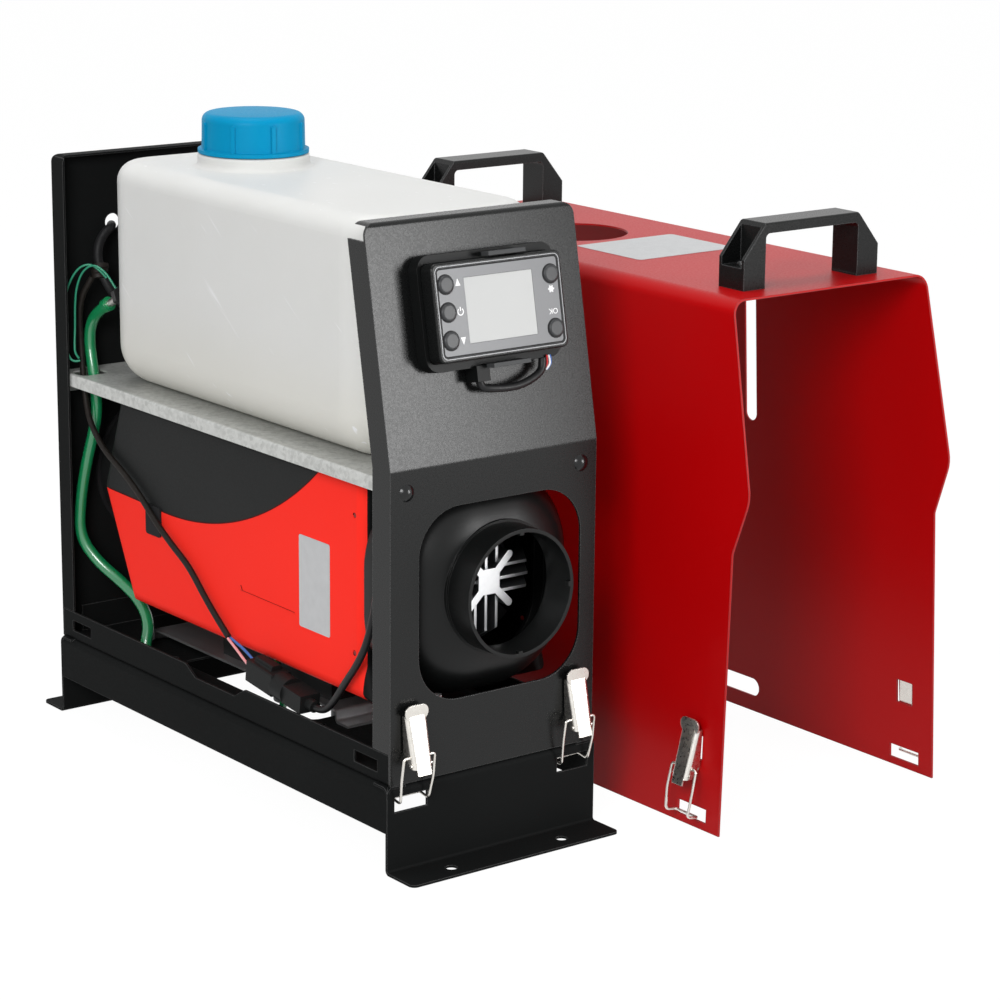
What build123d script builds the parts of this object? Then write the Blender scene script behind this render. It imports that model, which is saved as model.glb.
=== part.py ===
from build123d import *
import os
from math import atan2, cos, degrees, hypot, radians, sin, tan

# Diesel air heater: steel base, open chassis with fuel tank and heater unit, and a red cover
# that stands beside it.  Millimetres.  X runs across the front, Y from front to back, Z up.
# The origin is the centre of the four foot holes, on the floor.

# ---- driving dimensions ------------------------------------------------------------------
BODY_W = 150.0            # base, across
BODY_L = 366.0            # base, front wall to rear wall
BASE_H = 52.0             # base, floor to top edge
RAIL_BOTTOM = 24.5        # the side rails of the base hang down to here
FOOT_L = 25.0             # foot flange in front of and behind the base
FOOT_HOLE_R = 3.5
FOOT_HOLE_X = 80.0        # hole to hole across
FOOT_HOLE_Y = 394.0       # hole to hole along
SHEET = 1.5               # sheet of base, chassis and panels
BEND_R = 3.0
INSET = 2.2               # chassis and panels stand inside the base by this much a side
LIP_TOP = 70.5            # top edge of the chassis side lips
PANEL_BEND_Z = 234.0      # the front panel leans back above this height
PANEL_TOP_Z = 368.0
PANEL_SETBACK = 25.3
FRONT_FLANGE = (17.0, 10.5)  # depth of the left and the right side flange
FLANGE_NOTCH = 9.5        # the left flange ends this far below the panel's top
REAR_TOP_Z = 366.7
REAR_FLANGE = 14.0
CABLE_HOLE = (-30.3, 320.0)
CABLE_HOLE_R = 5.4
SHELF_Z = 228.0
SHELF_SHEET = 1.2
DUCT_R = 37.5             # hot air collar for a 75 mm duct
DUCT_X, DUCT_Z = 3.7, 157.4
DUCT_TIP_Y = -203.0
COWL_Y = -184.0
TANK = (126.0, 290.0, 140.0)
TANK_Y = -4.0             # middle of the tank
TANK_WALL = 3.0
TANK_RADII = (30.0, 12.5, 26.0)  # upright corners, top edge, bottom edge
NECK_Y = 62.6
NECK_R = 27.0
CAP_R = 31.6
CAP_H = 24.7
CAP_RISE = 8.6            # the cap's foot above the tank's top
SHOULDER_R = 34.2
SHELL_X = (-61.0, 69.0)   # heater unit, left and right faces
SHELL_Z = (88.0, 222.0)
SHELL_WALL = 2.5
FAN_R = 50.0
COVER_H = 317.0
COVER_W = 153.2           # cover, across its top
COVER_SHEET = 1.2
COVER_X = 202.8           # middle of the cover's top, as it stands beside the heater
COVER_Y = -246.8          # lower front edge of the cover
COVER_SPLAY = (8.4, 15.4)  # the sprung walls stand out at the bottom, left and right
COVER_HOLE_R = 34.8
CONTROL = (90.0, 55.0)
CONTROL_X, CONTROL_S = 1.0, 83.5
BUTTON_R = 5.2
HOSE_R = 3.75

FRONT = -BODY_L / 2
REAR = BODY_L / 2
SIDE = BODY_W / 2 - INSET
SLANT = atan2(PANEL_SETBACK, PANEL_TOP_Z - PANEL_BEND_Z)
PANEL_PLANE = Plane((0, FRONT, PANEL_BEND_Z), x_dir=(1, 0, 0), z_dir=(0, -cos(SLANT), sin(SLANT)))


# ---- small shapes that many pieces share ---------------------------------------------------
def block(x0, x1, y0, y1, z0, z1):
    """A box between two corners."""
    return Pos((x0 + x1) / 2, (y0 + y1) / 2, (z0 + z1) / 2) * Box(x1 - x0, y1 - y0, z1 - z0)


def rod(start, direction, radius, length):
    """A round bar from a point along a direction."""
    return extrude(Plane(start, z_dir=direction) * Circle(radius), length)


def along_x(section, x0, x1):
    """A (Y, Z) section run across the object."""
    return Pos(x0, 0, 0) * extrude(Plane.YZ * section, x1 - x0)


def along_y(section, y0, y1):
    """An (X, Z) section run from front to back."""
    return Pos(0, y1, 0) * extrude(Plane.XZ * section, y1 - y0)


def bent_sheet(points, thickness, radii):
    """Section of a bent sheet: it lies to the left of a line with rounded bends."""
    line = FilletPolyline(*points, radius=radii)
    return make_face(offset(line, amount=thickness, side=Side.LEFT))


def both_sides(shape):
    """The shape and its mirror image across the middle of the object."""
    return [shape, mirror(shape, about=Plane.YZ)]


def tube(name, points, radius):
    """A bent round tube on straight runs and tangent arcs; prints its bend radii and length."""
    runs = [Vector(*b) - Vector(*a) for a, b in zip(points, points[1:])]
    radii = []
    for one, two in zip(runs, runs[1:]):
        turn = radians(one.get_angle(two))
        radii.append(0.45 * min(one.length, two.length) / tan(turn / 2))
    path = FilletPolyline(*points, radius=radii)
    start = Plane(points[0], z_dir=runs[0])
    solid = sweep(start * Circle(radius), path=path)
    share = solid.volume / (3.14159265 * radius**2 * path.length)
    print(f"{name}: length {path.length:.0f}, least radius {min(radii):.1f}, "
          f"volume share {share:.4f}")
    return solid


# ---- base and chassis ----------------------------------------------------------------------
def base_tray():
    """Base: two feet with walls, side rails, and a narrow shelf all round for the chassis."""
    foot = along_x(bent_sheet([(FRONT - FOOT_L, 0), (FRONT + SHEET, 0),
                               (FRONT + SHEET, BASE_H - SHEET), (FRONT + 13, BASE_H - SHEET)],
                              SHEET, BEND_R), -BODY_W / 2, BODY_W / 2)
    corners = foot.edges().filter_by(Axis.Z).group_by(Axis.Y)[0]
    foot = fillet(corners, 4)
    for x in (-FOOT_HOLE_X / 2, FOOT_HOLE_X / 2):
        foot -= rod((x, -FOOT_HOLE_Y / 2, -1), (0, 0, 1), FOOT_HOLE_R, 4)
    rear_foot = mirror(foot, about=Plane.XZ)
    for x in (-58.4, 58.4):
        foot -= block(x - 11.35, x + 11.35, FRONT - 1, FRONT + 3, 36.4, 45.5)
    for x in (-38, 38):
        rear_foot -= block(x - 9, x + 9, 175, 181, 49, 53)
    rail = along_y(bent_sheet([(-BODY_W / 2 + SHEET, RAIL_BOTTOM),
                               (-BODY_W / 2 + SHEET, BASE_H - SHEET),
                               (-BODY_W / 2 + 13, BASE_H - SHEET)], SHEET, BEND_R), FRONT, REAR)
    return foot + rear_foot + both_sides(rail)


def chassis_pan():
    """Floor of the chassis with side lips; the cover's latch hooks reach into its windows."""
    pan = along_y(bent_sheet([(-SIDE, LIP_TOP), (-SIDE, BASE_H), (SIDE, BASE_H), (SIDE, LIP_TOP)],
                             SHEET, 2.0), FRONT + SHEET, REAR - SHEET)
    notch = make_face(Polyline((-34, 71), (-22, 64), (22, 64), (34, 71), close=True))
    pan -= along_x(notch, -SIDE - 1, SIDE + 1)
    for y in (-159.0, 159.0):
        pan -= block(-SIDE - 1, SIDE + 1, y - 11.4, y + 11.4, 58.0, 64.9)
    opening = RectangleRounded(90, 146, 8)
    pan -= Pos(0, 11, BASE_H - 1) * extrude(opening, 4)
    for x in (-43.5, 43.5):
        for y in (-71.6, 93.5):
            pan -= rod((x, y, BASE_H - 1), (0, 0, 1), 2.6, 4)
    pan -= rod((-53.2, 113.8, BASE_H - 1), (0, 0, 1), 7.2, 4)
    for y in (FRONT + SHEET, REAR - 2 * SHEET):
        pan += block(-60, 60, y, y + SHEET, BASE_H + 1, LIP_TOP)
    for x in (-38, 38):
        pan += block(x - 7.5, x + 7.5, 177.2, 178.7, 40, BASE_H + 1)
    return pan


def front_panel():
    """Front panel: upright below, leaning back above, with side and top flanges."""
    face = bent_sheet([(FRONT + PANEL_SETBACK + 12, PANEL_TOP_Z), (FRONT + PANEL_SETBACK, PANEL_TOP_Z),
                       (FRONT, PANEL_BEND_Z), (FRONT, BASE_H + 0.2)], SHEET, [BEND_R, 6.0])
    panel = along_x(face, -SIDE, SIDE)
    for sign, depth, top in ((-1, FRONT_FLANGE[0], PANEL_TOP_Z - FLANGE_NOTCH),
                             (1, FRONT_FLANGE[1], PANEL_TOP_Z)):
        back = FRONT + (top - PANEL_BEND_Z) * tan(SLANT)
        side = make_face(Polyline(
            (FRONT, LIP_TOP + 0.5), (FRONT, PANEL_BEND_Z), (back, top), (back + depth, top),
            (FRONT + depth, PANEL_BEND_Z), (FRONT + depth, LIP_TOP + 0.5), close=True))
        edge = sign * (SIDE - SHEET / 2)
        panel += along_x(side, edge - SHEET / 2, edge + SHEET / 2)
    outline = Pos(0, PANEL_TOP_Z / 2) * RectangleRounded(2 * SIDE, PANEL_TOP_Z, 7)
    panel &= along_y(outline, FRONT - 1, FRONT + 60)
    hole = Pos(4.4, 152.4) * RectangleRounded(115, 113, 28)
    panel -= along_y(hole, FRONT - 1, FRONT + 4)
    for x in (-61.6, 61.6):
        panel -= rod((x, FRONT - 1, 221), (0, 1, 0), 2.2, 4)
    panel -= PANEL_PLANE * Pos(-5, 60, -3) * Cylinder(5, 10)
    return panel


def rear_panel():
    """Rear panel: flat, with side and top flanges, the air inlet and a cable hole."""
    face = bent_sheet([(REAR, BASE_H + 0.2), (REAR, REAR_TOP_Z), (REAR - 11, REAR_TOP_Z)],
                      SHEET, BEND_R)
    panel = along_x(face, -SIDE, SIDE)
    panel += both_sides(block(-SIDE, -SIDE + SHEET, REAR - REAR_FLANGE, REAR - 0.5,
                              LIP_TOP + 0.5, REAR_TOP_Z))
    outline = Pos(0, REAR_TOP_Z / 2) * RectangleRounded(2 * SIDE, REAR_TOP_Z, 5)
    panel &= along_y(outline, REAR - 60, REAR + 1)
    panel -= rod((DUCT_X, REAR - 4, DUCT_Z), (0, 1, 0), FAN_R - 1.6, 6)
    panel -= rod((CABLE_HOLE[0], REAR - 4, CABLE_HOLE[1]), (0, 1, 0), CABLE_HOLE_R, 6)
    for x in (-61.6, 61.6):
        panel -= rod((x, REAR - 4, 221), (0, 1, 0), 2.2, 6)
    return panel


def tank_shelf():
    """Galvanised shelf under the tank, its edges turned down, screwed to both panels."""
    half = SIDE - SHEET - 0.1
    top = bent_sheet([(half, SHELF_Z - 8), (half, SHELF_Z), (-half, SHELF_Z), (-half, SHELF_Z - 8)],
                     SHELF_SHEET, 1.6)
    shelf = along_y(top, FRONT + SHEET, REAR - SHEET)
    for y in (FRONT + SHEET, REAR - SHEET - SHELF_SHEET):
        shelf += block(-68, 68, y, y + SHELF_SHEET, SHELF_Z - 14, SHELF_Z - 0.5)
    for x in (-61.6, 61.6):
        shelf -= rod((x, FRONT, 221), (0, 1, 0), 2.05, BODY_L)
    slot = Pos(-58.5, 166, SHELF_Z - 3) * extrude(RectangleRounded(20, 17, 5), 6)
    shelf -= slot
    shelf -= rod((-65, -168, SHELF_Z - 3), (0, 0, 1), 3.5, 6)
    return shelf


def panel_screws():
    """Dome-headed screws through the panels into the shelf."""
    screws = []
    for x in (-61.6, 61.6):
        shank = rod((x, FRONT, 221), (0, 1, 0), 2.0, 9)
        head = Pos(x, FRONT + 3.5, 221) * Sphere(6.1) & block(x - 6, x + 6, FRONT - 3, FRONT, 215, 227)
        screws += [shank + head, mirror(shank + head, about=Plane.XZ)]
    return screws


# ---- tank ------------------------------------------------------------------------------------
def rounded_tank(inset):
    """A box with large upright corner radii and rounded top and bottom edges, drawn in by a wall."""
    width, length, height = (size - 2 * inset for size in TANK)
    corner, top, bottom = (radius - inset for radius in TANK_RADII)
    body = fillet(Box(width, length, height).edges().filter_by(Axis.Z), corner)
    body = fillet(body.edges().group_by(Axis.Z)[0], bottom)
    body = fillet(body.edges().group_by(Axis.Z)[-1], top)
    return Pos(0, TANK_Y, SHELF_Z + TANK[2] / 2) * body


def tank_spigot():
    """Outlet at the rear corner of the tank: a hexagon nut and a stub for the hose."""
    start, lean = (-49.4, 127.8, 286.5), (-0.8, 13.7, -7.1)
    stub = rod(start, lean, 2.6, 27.0)
    nut = extrude(Plane(start, z_dir=lean).offset(11) * RegularPolygon(6.5, 6), 4)
    return stub + nut


def fuel_tank():
    """Blow-moulded tank with a shoulder and a neck under the cap; hollow, about five litres."""
    top = SHELF_Z + TANK[2]
    foot = SHOULDER_R + 3.5
    ledge = top + CAP_RISE - 0.5
    shoulder = make_face([Polyline((foot, top), (foot, top - 2), (0, top - 2), (0, ledge),
                                   (SHOULDER_R - 1.5, ledge)),
                          ThreePointArc((SHOULDER_R - 1.5, ledge), (SHOULDER_R - 0.44, ledge - 0.44),
                                        (SHOULDER_R, ledge - 1.5)),
                          Line((SHOULDER_R, ledge - 1.5), (SHOULDER_R, top + 3.5)),
                          ThreePointArc((SHOULDER_R, top + 3.5), (SHOULDER_R + 1.03, top + 1.03),
                                        (foot, top))])
    tank = rounded_tank(0) + Pos(0, NECK_Y, 0) * revolve(Plane.XZ * shoulder, Axis.Z)
    tank += rod((0, NECK_Y, top - 6), (0, 0, 1), NECK_R, 34)
    tank -= rounded_tank(TANK_WALL)
    tank -= rod((0, NECK_Y, top - 12), (0, 0, 1), NECK_R - 4, 60)
    return tank - tank_spigot()


def tank_cap():
    """Screw cap: hollow, with a foot rim, a crowned top and eight narrow grip ribs."""
    inner = NECK_R + 0.4
    ceiling = CAP_H - 2.5
    crown, flat = CAP_H + 0.2, 6
    outline = [Polyline((flat, crown), (0, crown), (0, ceiling), (inner, ceiling), (inner, 0),
                        (CAP_R + 2.3, 0), (CAP_R + 2.3, 2.2), (CAP_R, 2.8), (CAP_R - 0.4, CAP_H - 0.8)),
               ThreePointArc((CAP_R - 0.4, CAP_H - 0.8), (CAP_R / 2 + 3, CAP_H - 0.05), (flat, crown))]
    section = make_face(outline)
    section = fillet(section.vertices().sort_by_distance((CAP_R, CAP_H, 0))[0], 5.0)
    cap = revolve(Plane.XZ * section, Axis.Z)
    upright = SlotOverall(17.5, 2.8, rotation=90)
    for k in range(8):
        rib = extrude(Plane.YZ.offset(CAP_R - 2) * Pos(0, 10.4) * upright, 2.9)
        cap += Rot(0, 0, 45 * k + 34.5) * rib
    return Pos(0, NECK_Y, SHELF_Z + TANK[2] + CAP_RISE) * cap


def cap_seal():
    """Flat ring that closes on the neck, carried inside the cap."""
    ring = Circle(NECK_R) - Circle(NECK_R - 5)
    return Pos(0, NECK_Y, SHELF_Z + TANK[2] + 28.1) * extrude(ring, 2.4)


# ---- heater unit -------------------------------------------------------------------------------
def shell_profile(inset):
    """Side outline of the heater unit, as (Y, Z), drawn in by a wall thickness."""
    outline = make_face(Polyline((-141 + inset, 222 - inset), (-141 + inset, 109), (-148 + inset, 88 + inset),
                                 (116 - inset, 88 + inset), (150 - inset, 158), (127 - inset, 222 - inset),
                                 close=True))
    corners = outline.vertices().sort_by(Axis.Y)[2:]
    return fillet(corners, 9)


def heater_form(inset):
    """Solid form of the heater unit: the side outline across, with rounded side edges."""
    form = along_x(shell_profile(inset), SHELL_X[0] + inset, SHELL_X[1] - inset)
    rims = form.faces().sort_by(Axis.X)[0].edges() + form.faces().sort_by(Axis.X)[-1].edges()
    return fillet(rims, 8 - inset / 2)


def heater_shells():
    """Red lower and black upper shell, parted on a sweeping curve."""
    form = heater_form(0) - heater_form(SHELL_WALL)
    form -= along_y(Pos(DUCT_X, DUCT_Z) * RectangleRounded(116, 116, 36), -160, -120)
    form -= rod((DUCT_X, 110, DUCT_Z), (0, 1, 0), FAN_R - 2, 60)
    form -= block(-28, 35.4, -60, 60, 80, 100)
    parting = Polyline((170, 240), (170, 158), (90, 156.5))
    sweep_up = ThreePointArc((90, 156.5), (-5.5, 166.7), (-104, 223))
    closing = Polyline((-104, 223), (-104, 240), (170, 240))
    above = along_x(make_face([parting, sweep_up, closing]), SHELL_X[0] - 5, SHELL_X[1] + 5)
    screws = []
    for y, z in ((-131.7, 197.5), (-131.5, 116.2)):
        screws += both_sides(rod((SHELL_X[0] - 1, y, z), (1, 0, 0), 1.6, 3))
    lower = form - above
    for screw in screws:
        lower -= screw
    upper = form & above
    for x in (-27, 35):
        for y in (19, 99):
            upper += rod((x, y, 214), (0, 0, 1), 3, 7)
    return lower, upper


def outlet_cowl():
    """Pillow-shaped outlet nose over the unit's whole front, with the duct collar and three nibs."""
    wall, edge, corner = 2.5, 38, 54
    width, height = SHELL_X[1] - SHELL_X[0], SHELL_Z[1] - SHELL_Z[0]
    middle = Pos(sum(SHELL_X) / 2, sum(SHELL_Z) / 2)
    outer = along_y(middle * RectangleRounded(width, height, corner), COWL_Y, -141)
    outer = fillet(outer.edges().group_by(Axis.Y)[0], edge)
    inner = along_y(middle * RectangleRounded(width - 2 * wall, height - 2 * wall, corner - wall),
                    COWL_Y + wall, -141 - wall)
    inner = fillet(inner.edges().group_by(Axis.Y)[0], edge - wall)
    duct = Pos(DUCT_X, DUCT_Z)
    outer += along_y(duct * RectangleRounded(116, 116, 36), -150, -106)
    inner += along_y(duct * RectangleRounded(111, 111, 33.5), -150, -105)
    collar = rod((DUCT_X, DUCT_TIP_Y, DUCT_Z), (0, 1, 0), DUCT_R, 24)
    collar += rod((DUCT_X, COWL_Y, DUCT_Z), (0, 1, 0), DUCT_R + 1.3, 5)
    bore = rod((DUCT_X, DUCT_TIP_Y - 1, DUCT_Z), (0, 1, 0), DUCT_R - 2.2, 30)
    cowl = outer - heater_form(0) + collar - inner - bore
    for turn in (0, 90, 270):
        nib = Rot(0, turn, 0) * block(DUCT_R - 3.6, DUCT_R - 1.2, DUCT_TIP_Y, DUCT_TIP_Y + 3, -1.5, 1.5)
        cowl += Pos(DUCT_X, 0, DUCT_Z) * nib
    return cowl


def heat_exchanger():
    """Finned casting: a square hub with four arms, and three parallel fins between each pair."""
    flat, fin_front, fin_pitch = -173.0, -170.0, 7.5
    reach = revolve(make_face(Polyline((0, fin_front), (30, fin_front), (50, -138), (50, 8), (0, 8),
                                       close=True)), Axis.Y)
    fins = []
    for quarter in range(4):
        turn = Rot(0, 90 * quarter, 0)
        fins.append(turn * (Rot(0, 45, 0) * block(0, 60, -146, 8, -3, 3)))
        for shift in (-fin_pitch, 0, fin_pitch):
            fins.append(turn * block(abs(shift), 60, fin_front, 8, shift - 0.9, shift + 0.9))
    star = fins[0].fuse(*fins[1:]) & reach
    for lean in (45, -45):
        star += along_y(SlotOverall(45, 4.6, rotation=lean), flat, -145)
    star += block(-7.5, 7.5, flat, -145, -7.5, 7.5) + rod((0, -146, 0), (0, 1, 0), 33, 154)
    casting = Pos(DUCT_X, 0, DUCT_Z) * star
    casting += block(-28, 35.4, -60, 8, 62, 128) + rod((DUCT_X, -34, 64), (0, 0, -1), 12, 30)
    casting -= rod((DUCT_X, -34, 132), (0, 0, -1), 10, 100)
    casting -= rod((DUCT_X, -125, DUCT_Z), (0, 1, 0), 29, 134)
    casting -= rod((DUCT_X, -20, 185), (0, 0, 1), 4, 30)
    casting -= rod((DUCT_X, -20, 191), (0, 0, 1), 8.2, 20)
    return casting + rod((-27, -6, 76), (-0.8, -0.6, 0), 2.4, 8.4)


def burner_tube():
    """Steel flame tube inside the casting, closed by its flange at the back."""
    pipe = rod((DUCT_X, -112, DUCT_Z), (0, 1, 0), 24, 112) - rod((DUCT_X, -113, DUCT_Z), (0, 1, 0), 22.6, 110)
    return pipe + rod((DUCT_X, -3, DUCT_Z), (0, 1, 0), 29, 3)


def glow_plug():
    """Ceramic glow plug screwed into the top of the casting."""
    thread = rod((DUCT_X, -20, 185), (0, 0, 1), 4, 8)
    hexagon = Pos(DUCT_X, -20, 193) * extrude(RegularPolygon(7, 6), 5)
    return thread + hexagon + rod((DUCT_X, -20, 198), (0, 0, 1), 3, 5)


def combustion_housing():
    """Cast housing of the combustion air fan, bolted on behind the casting."""
    body = rod((DUCT_X, 8, DUCT_Z), (0, 1, 0), 44, 27) + block(-28, 35.4, 8, 60, 62, 116)
    body += rod((DUCT_X, 30, 64), (0, 0, -1), 12, 30)
    body -= rod((DUCT_X, 30, 125), (0, 0, -1), 10, 100)
    body -= rod((DUCT_X, 14, DUCT_Z), (0, 1, 0), 38, 15)
    body -= rod((DUCT_X, 26, DUCT_Z), (0, 1, 0), 5, 12)
    return body


def fan_motor():
    """Motor can; the one shaft drives both fans."""
    can = rod((DUCT_X, 35, DUCT_Z), (0, 1, 0), 27, 48)
    can = fillet(can.edges().group_by(Axis.Y)[-1], 4)
    can += rod((DUCT_X, 83, DUCT_Z), (0, 1, 0), 8, 3)
    return can - rod((DUCT_X, 30, DUCT_Z), (0, 1, 0), 3.05, 60)


def motor_shaft():
    """Ground steel shaft."""
    return rod((DUCT_X, 17, DUCT_Z), (0, 1, 0), 3, 90)


def hot_air_fan():
    """Axial fan that pushes cabin air over the fins: nine twisted blades on a hub."""
    hub = rod((DUCT_X, 90, DUCT_Z), (0, 1, 0), 17, 18)
    hub = fillet(hub.edges().group_by(Axis.Y)[-1], 5)
    blades = []
    for k in range(9):
        root = Plane((15, 99, 0), x_dir=(0, 1, 0), z_dir=(1, 0, 0))
        tip = Plane((FAN_R - 3, 99, 0), x_dir=(0, 1, 0), z_dir=(1, 0, 0))
        blade = loft([root * Rot(0, 0, 32) * Rectangle(17, 2), tip * Rot(0, 0, 55) * Rectangle(17, 1.4)])
        blades.append(Pos(DUCT_X, 0, DUCT_Z) * Rot(0, 40 * k, 0) * blade)
    fan = hub.fuse(*blades)
    return fan - rod((DUCT_X, 80, DUCT_Z), (0, 1, 0), 3, 30)


def combustion_fan():
    """Side-channel wheel that feeds the flame, with short radial vanes on one face."""
    wheel = rod((DUCT_X, 18, DUCT_Z), (0, 1, 0), 36, 4) + rod((DUCT_X, 18, DUCT_Z), (0, 1, 0), 9, 9)
    vanes = []
    for k in range(18):
        vane = block(24, 35, 21.5, 26.5, -0.7, 0.7)
        vanes.append(Pos(DUCT_X, 0, DUCT_Z) * Rot(0, 20 * k, 0) * vane)
    wheel = wheel.fuse(*vanes)
    return wheel - rod((DUCT_X, 17.5, DUCT_Z), (0, 1, 0), 3, 12)


def inlet_guard():
    """Air inlet: a collar that reaches the rear panel, with a finger guard of rings and spokes."""
    collar = along_y(Pos(DUCT_X, DUCT_Z) * (Circle(FAN_R - 2) - Circle(FAN_R - 4.5)), 128, REAR - 2)
    guard = [collar]
    for outer, inner in ((38, 35.6), (27.5, 25.1), (17, 8)):
        ring = Pos(DUCT_X, DUCT_Z) * (Circle(outer) - Circle(inner))
        guard.append(along_y(ring, REAR - 5, REAR - 2))
    for turn in (45, 135):
        spoke = Rot(0, turn, 0) * block(-FAN_R + 3, FAN_R - 3, REAR - 6, REAR - 3, -1.5, 1.5)
        guard.append(Pos(DUCT_X, 0, DUCT_Z) * spoke)
    return guard[0].fuse(*guard[1:])


def control_board():
    """Circuit board that runs the heater, above the motor."""
    board = block(-32, 40, 14, 104, 212.4, 214)
    board += block(-24, -8, 30, 50, 214, 217.5) + block(10, 30, 24, 34, 214, 217)
    return board + block(8, 30, 60, 84, 214, 217.2)


def mounting_plate():
    """Raised plate that carries the heater unit over the opening in the chassis floor."""
    line = [(145, 55), (133, 55), (133, 62), (-75, 62), (-75, 55), (-87, 55)]
    plate = along_x(bent_sheet(line, SHEET, 1.8), -35, 43)
    for y in (-34, 30):
        plate -= rod((DUCT_X, y, 56), (0, 0, 1), 15, 8)
    return plate


# ---- fuel line and pump -----------------------------------------------------------------------
PUMP_X, PUMP_Z = -47.0, 37.5
HOSE_ROUTE = [(-50.8, 151.8, 274.1), (-51.6, 165.5, 267.0), (-52.4, 173.5, 258.0), (-52.8, 175.4, 246.0),
              (-53.4, 171.0, 231.0), (-53.4, 167.0, 214.0), (-54.0, 166.0, 199.0), (-56.0, 169.0, 184.0),
              (-59.6, 172.5, 164.0), (-62.8, 174.5, 141.0), (-64.8, 173.0, 120.0), (-61.7, 165.5, 104.0),
              (-57.5, 149.0, 93.0), (-55.5, 132.0, 84.5), (-54.2, 120.0, 70.5), (-53.2, 114.3, 55.5),
              (-51.2, 110.0, 45.0), (-47.6, 101.0, 38.2), (PUMP_X, 90.4, PUMP_Z)]
DELIVERY_ROUTE = [(PUMP_X, -2.3, PUMP_Z), (-46.5, -13.5, 38.0), (-43.0, -24.0, 44.0), (-40.3, -28.0, 55.5),
                  (-40.6, -24.0, 67.0), (-40.2, -15.5, 74.5), (-34.2, -11.4, 75.9)]
THIN_ROUTES = [
    [(-46.2, 147.0, 279.0), (-48.5, 152.0, 286.5), (-51.2, 156.5, 293.5), (-56.0, 163.0, 298.0),
     (-60.6, 168.5, 293.0), (-63.4, 171.5, 283.0), (-64.6, 172.0, 271.0), (-65.4, 171.0, 257.0),
     (-67.0, 169.5, 246.0), (-67.4, 168.4, 240.5), (-65.2, 167.4, 237.6)],
    [(-49.0, 158.5, 288.8), (-54.0, 163.5, 297.2), (-60.6, 169.5, 296.8), (-66.0, 173.0, 289.0),
     (-69.3, 176.0, 277.0), (-70.0, 177.0, 262.0), (-70.2, 175.5, 249.0), (-70.2, 172.5, 239.5),
     (-68.8, 168.5, 235.2), (-65.4, 165.8, 236.4)]]


def fuel_lines():
    """Green hose from tank to filter, its link to the pump, the burner's hose and two thin lines."""
    supply = tube("supply hose", HOSE_ROUTE, HOSE_R)
    link = rod((PUMP_X, 59, PUMP_Z), (0, -1, 0), HOSE_R, 5)
    delivery = tube("delivery hose", DELIVERY_ROUTE, 2.4)
    thin = [tube("thin line", route, 0.7) for route in THIN_ROUTES]
    return [supply, link, delivery] + thin


def fuel_filter():
    """Small in-line filter."""
    body = rod((PUMP_X, 64, PUMP_Z), (0, 1, 0), 9.5, 20)
    body = fillet(body.edges(), 2.5)
    return body + rod((PUMP_X, 59, PUMP_Z), (0, 1, 0), 2.6, 31)


def fuel_pump():
    """Dosing pump: steel can with a plastic socket, hung under the chassis floor."""
    can = rod((PUMP_X, 8, PUMP_Z), (0, 1, 0), 12.5, 36)
    can = fillet(can.edges(), 2)
    can += rod((PUMP_X, -2, PUMP_Z), (0, 1, 0), 4.5, 56)
    return can + block(PUMP_X - 5, PUMP_X + 5, 38, 50, PUMP_Z - 4, PUMP_Z + 11)


def rubber_clips():
    """Rubber clamp that hangs the pump and the pad under the loom."""
    ring = rod((PUMP_X, 16, PUMP_Z), (0, 1, 0), 13.9, 14) - rod((PUMP_X, 15, PUMP_Z), (0, 1, 0), 12.5, 16)
    strap = block(PUMP_X - 14.5, PUMP_X - 8, 16, 30, 46.0, BASE_H)
    clamp = ring + (strap - rod((PUMP_X, 15, PUMP_Z), (0, 1, 0), 13.2, 16))
    pad = Pos(86, 148) * RectangleRounded(17, 19, 2)
    return [clamp, along_x(pad, SHELL_X[0] - 1.3, SHELL_X[0])]


def hose_clamps():
    """Sprung bands at the ends of the supply hose."""
    bands = []
    for end, inner in (HOSE_ROUTE[:2], HOSE_ROUTE[:-3:-1]):
        plane = Plane(end, z_dir=Vector(*inner) - Vector(*end)).offset(1.2)
        bands.append(extrude(plane * (Circle(HOSE_R + 0.9) - Circle(HOSE_R)), 4.5))
    return bands


# ---- wiring -----------------------------------------------------------------------------------
LOOM_X = -64.2
CONDUIT_ROUTE = [(-30.3, 183.0, 317.7), (-34.5, 175.5, 318.0), (-43.0, 171.0, 315.0), (-48.6, 169.0, 308.0),
                 (-49.6, 168.0, 299.0), (-48.4, 165.5, 291.0), (-46.4, 161.5, 283.5), (-42.8, 158.5, 275.5),
                 (-36.0, 155.5, 268.0), (-27.0, 153.5, 262.0)]
LOOM_ROUTE = [(-53.8, 168.0, 288.6), (-56.0, 170.0, 283.8), (-58.4, 173.5, 276.0), (-59.1, 175.8, 266.0),
              (-58.8, 176.3, 255.0), (-58.9, 175.3, 244.0), (-60.0, 172.4, 232.5), (-61.0, 169.3, 221.5),
              (-62.4, 164.5, 208.0), (LOOM_X, 156.5, 197.0), (LOOM_X, 141.0, 183.0), (LOOM_X, 118.0, 173.5),
              (LOOM_X, 97.0, 162.0), (LOOM_X, 81.0, 150.0), (LOOM_X, 61.0, 138.5), (LOOM_X, 41.0, 129.0),
              (LOOM_X, 25.0, 115.0), (LOOM_X, 10.0, 103.5), (LOOM_X, -3.0, 94.7)]
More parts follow.
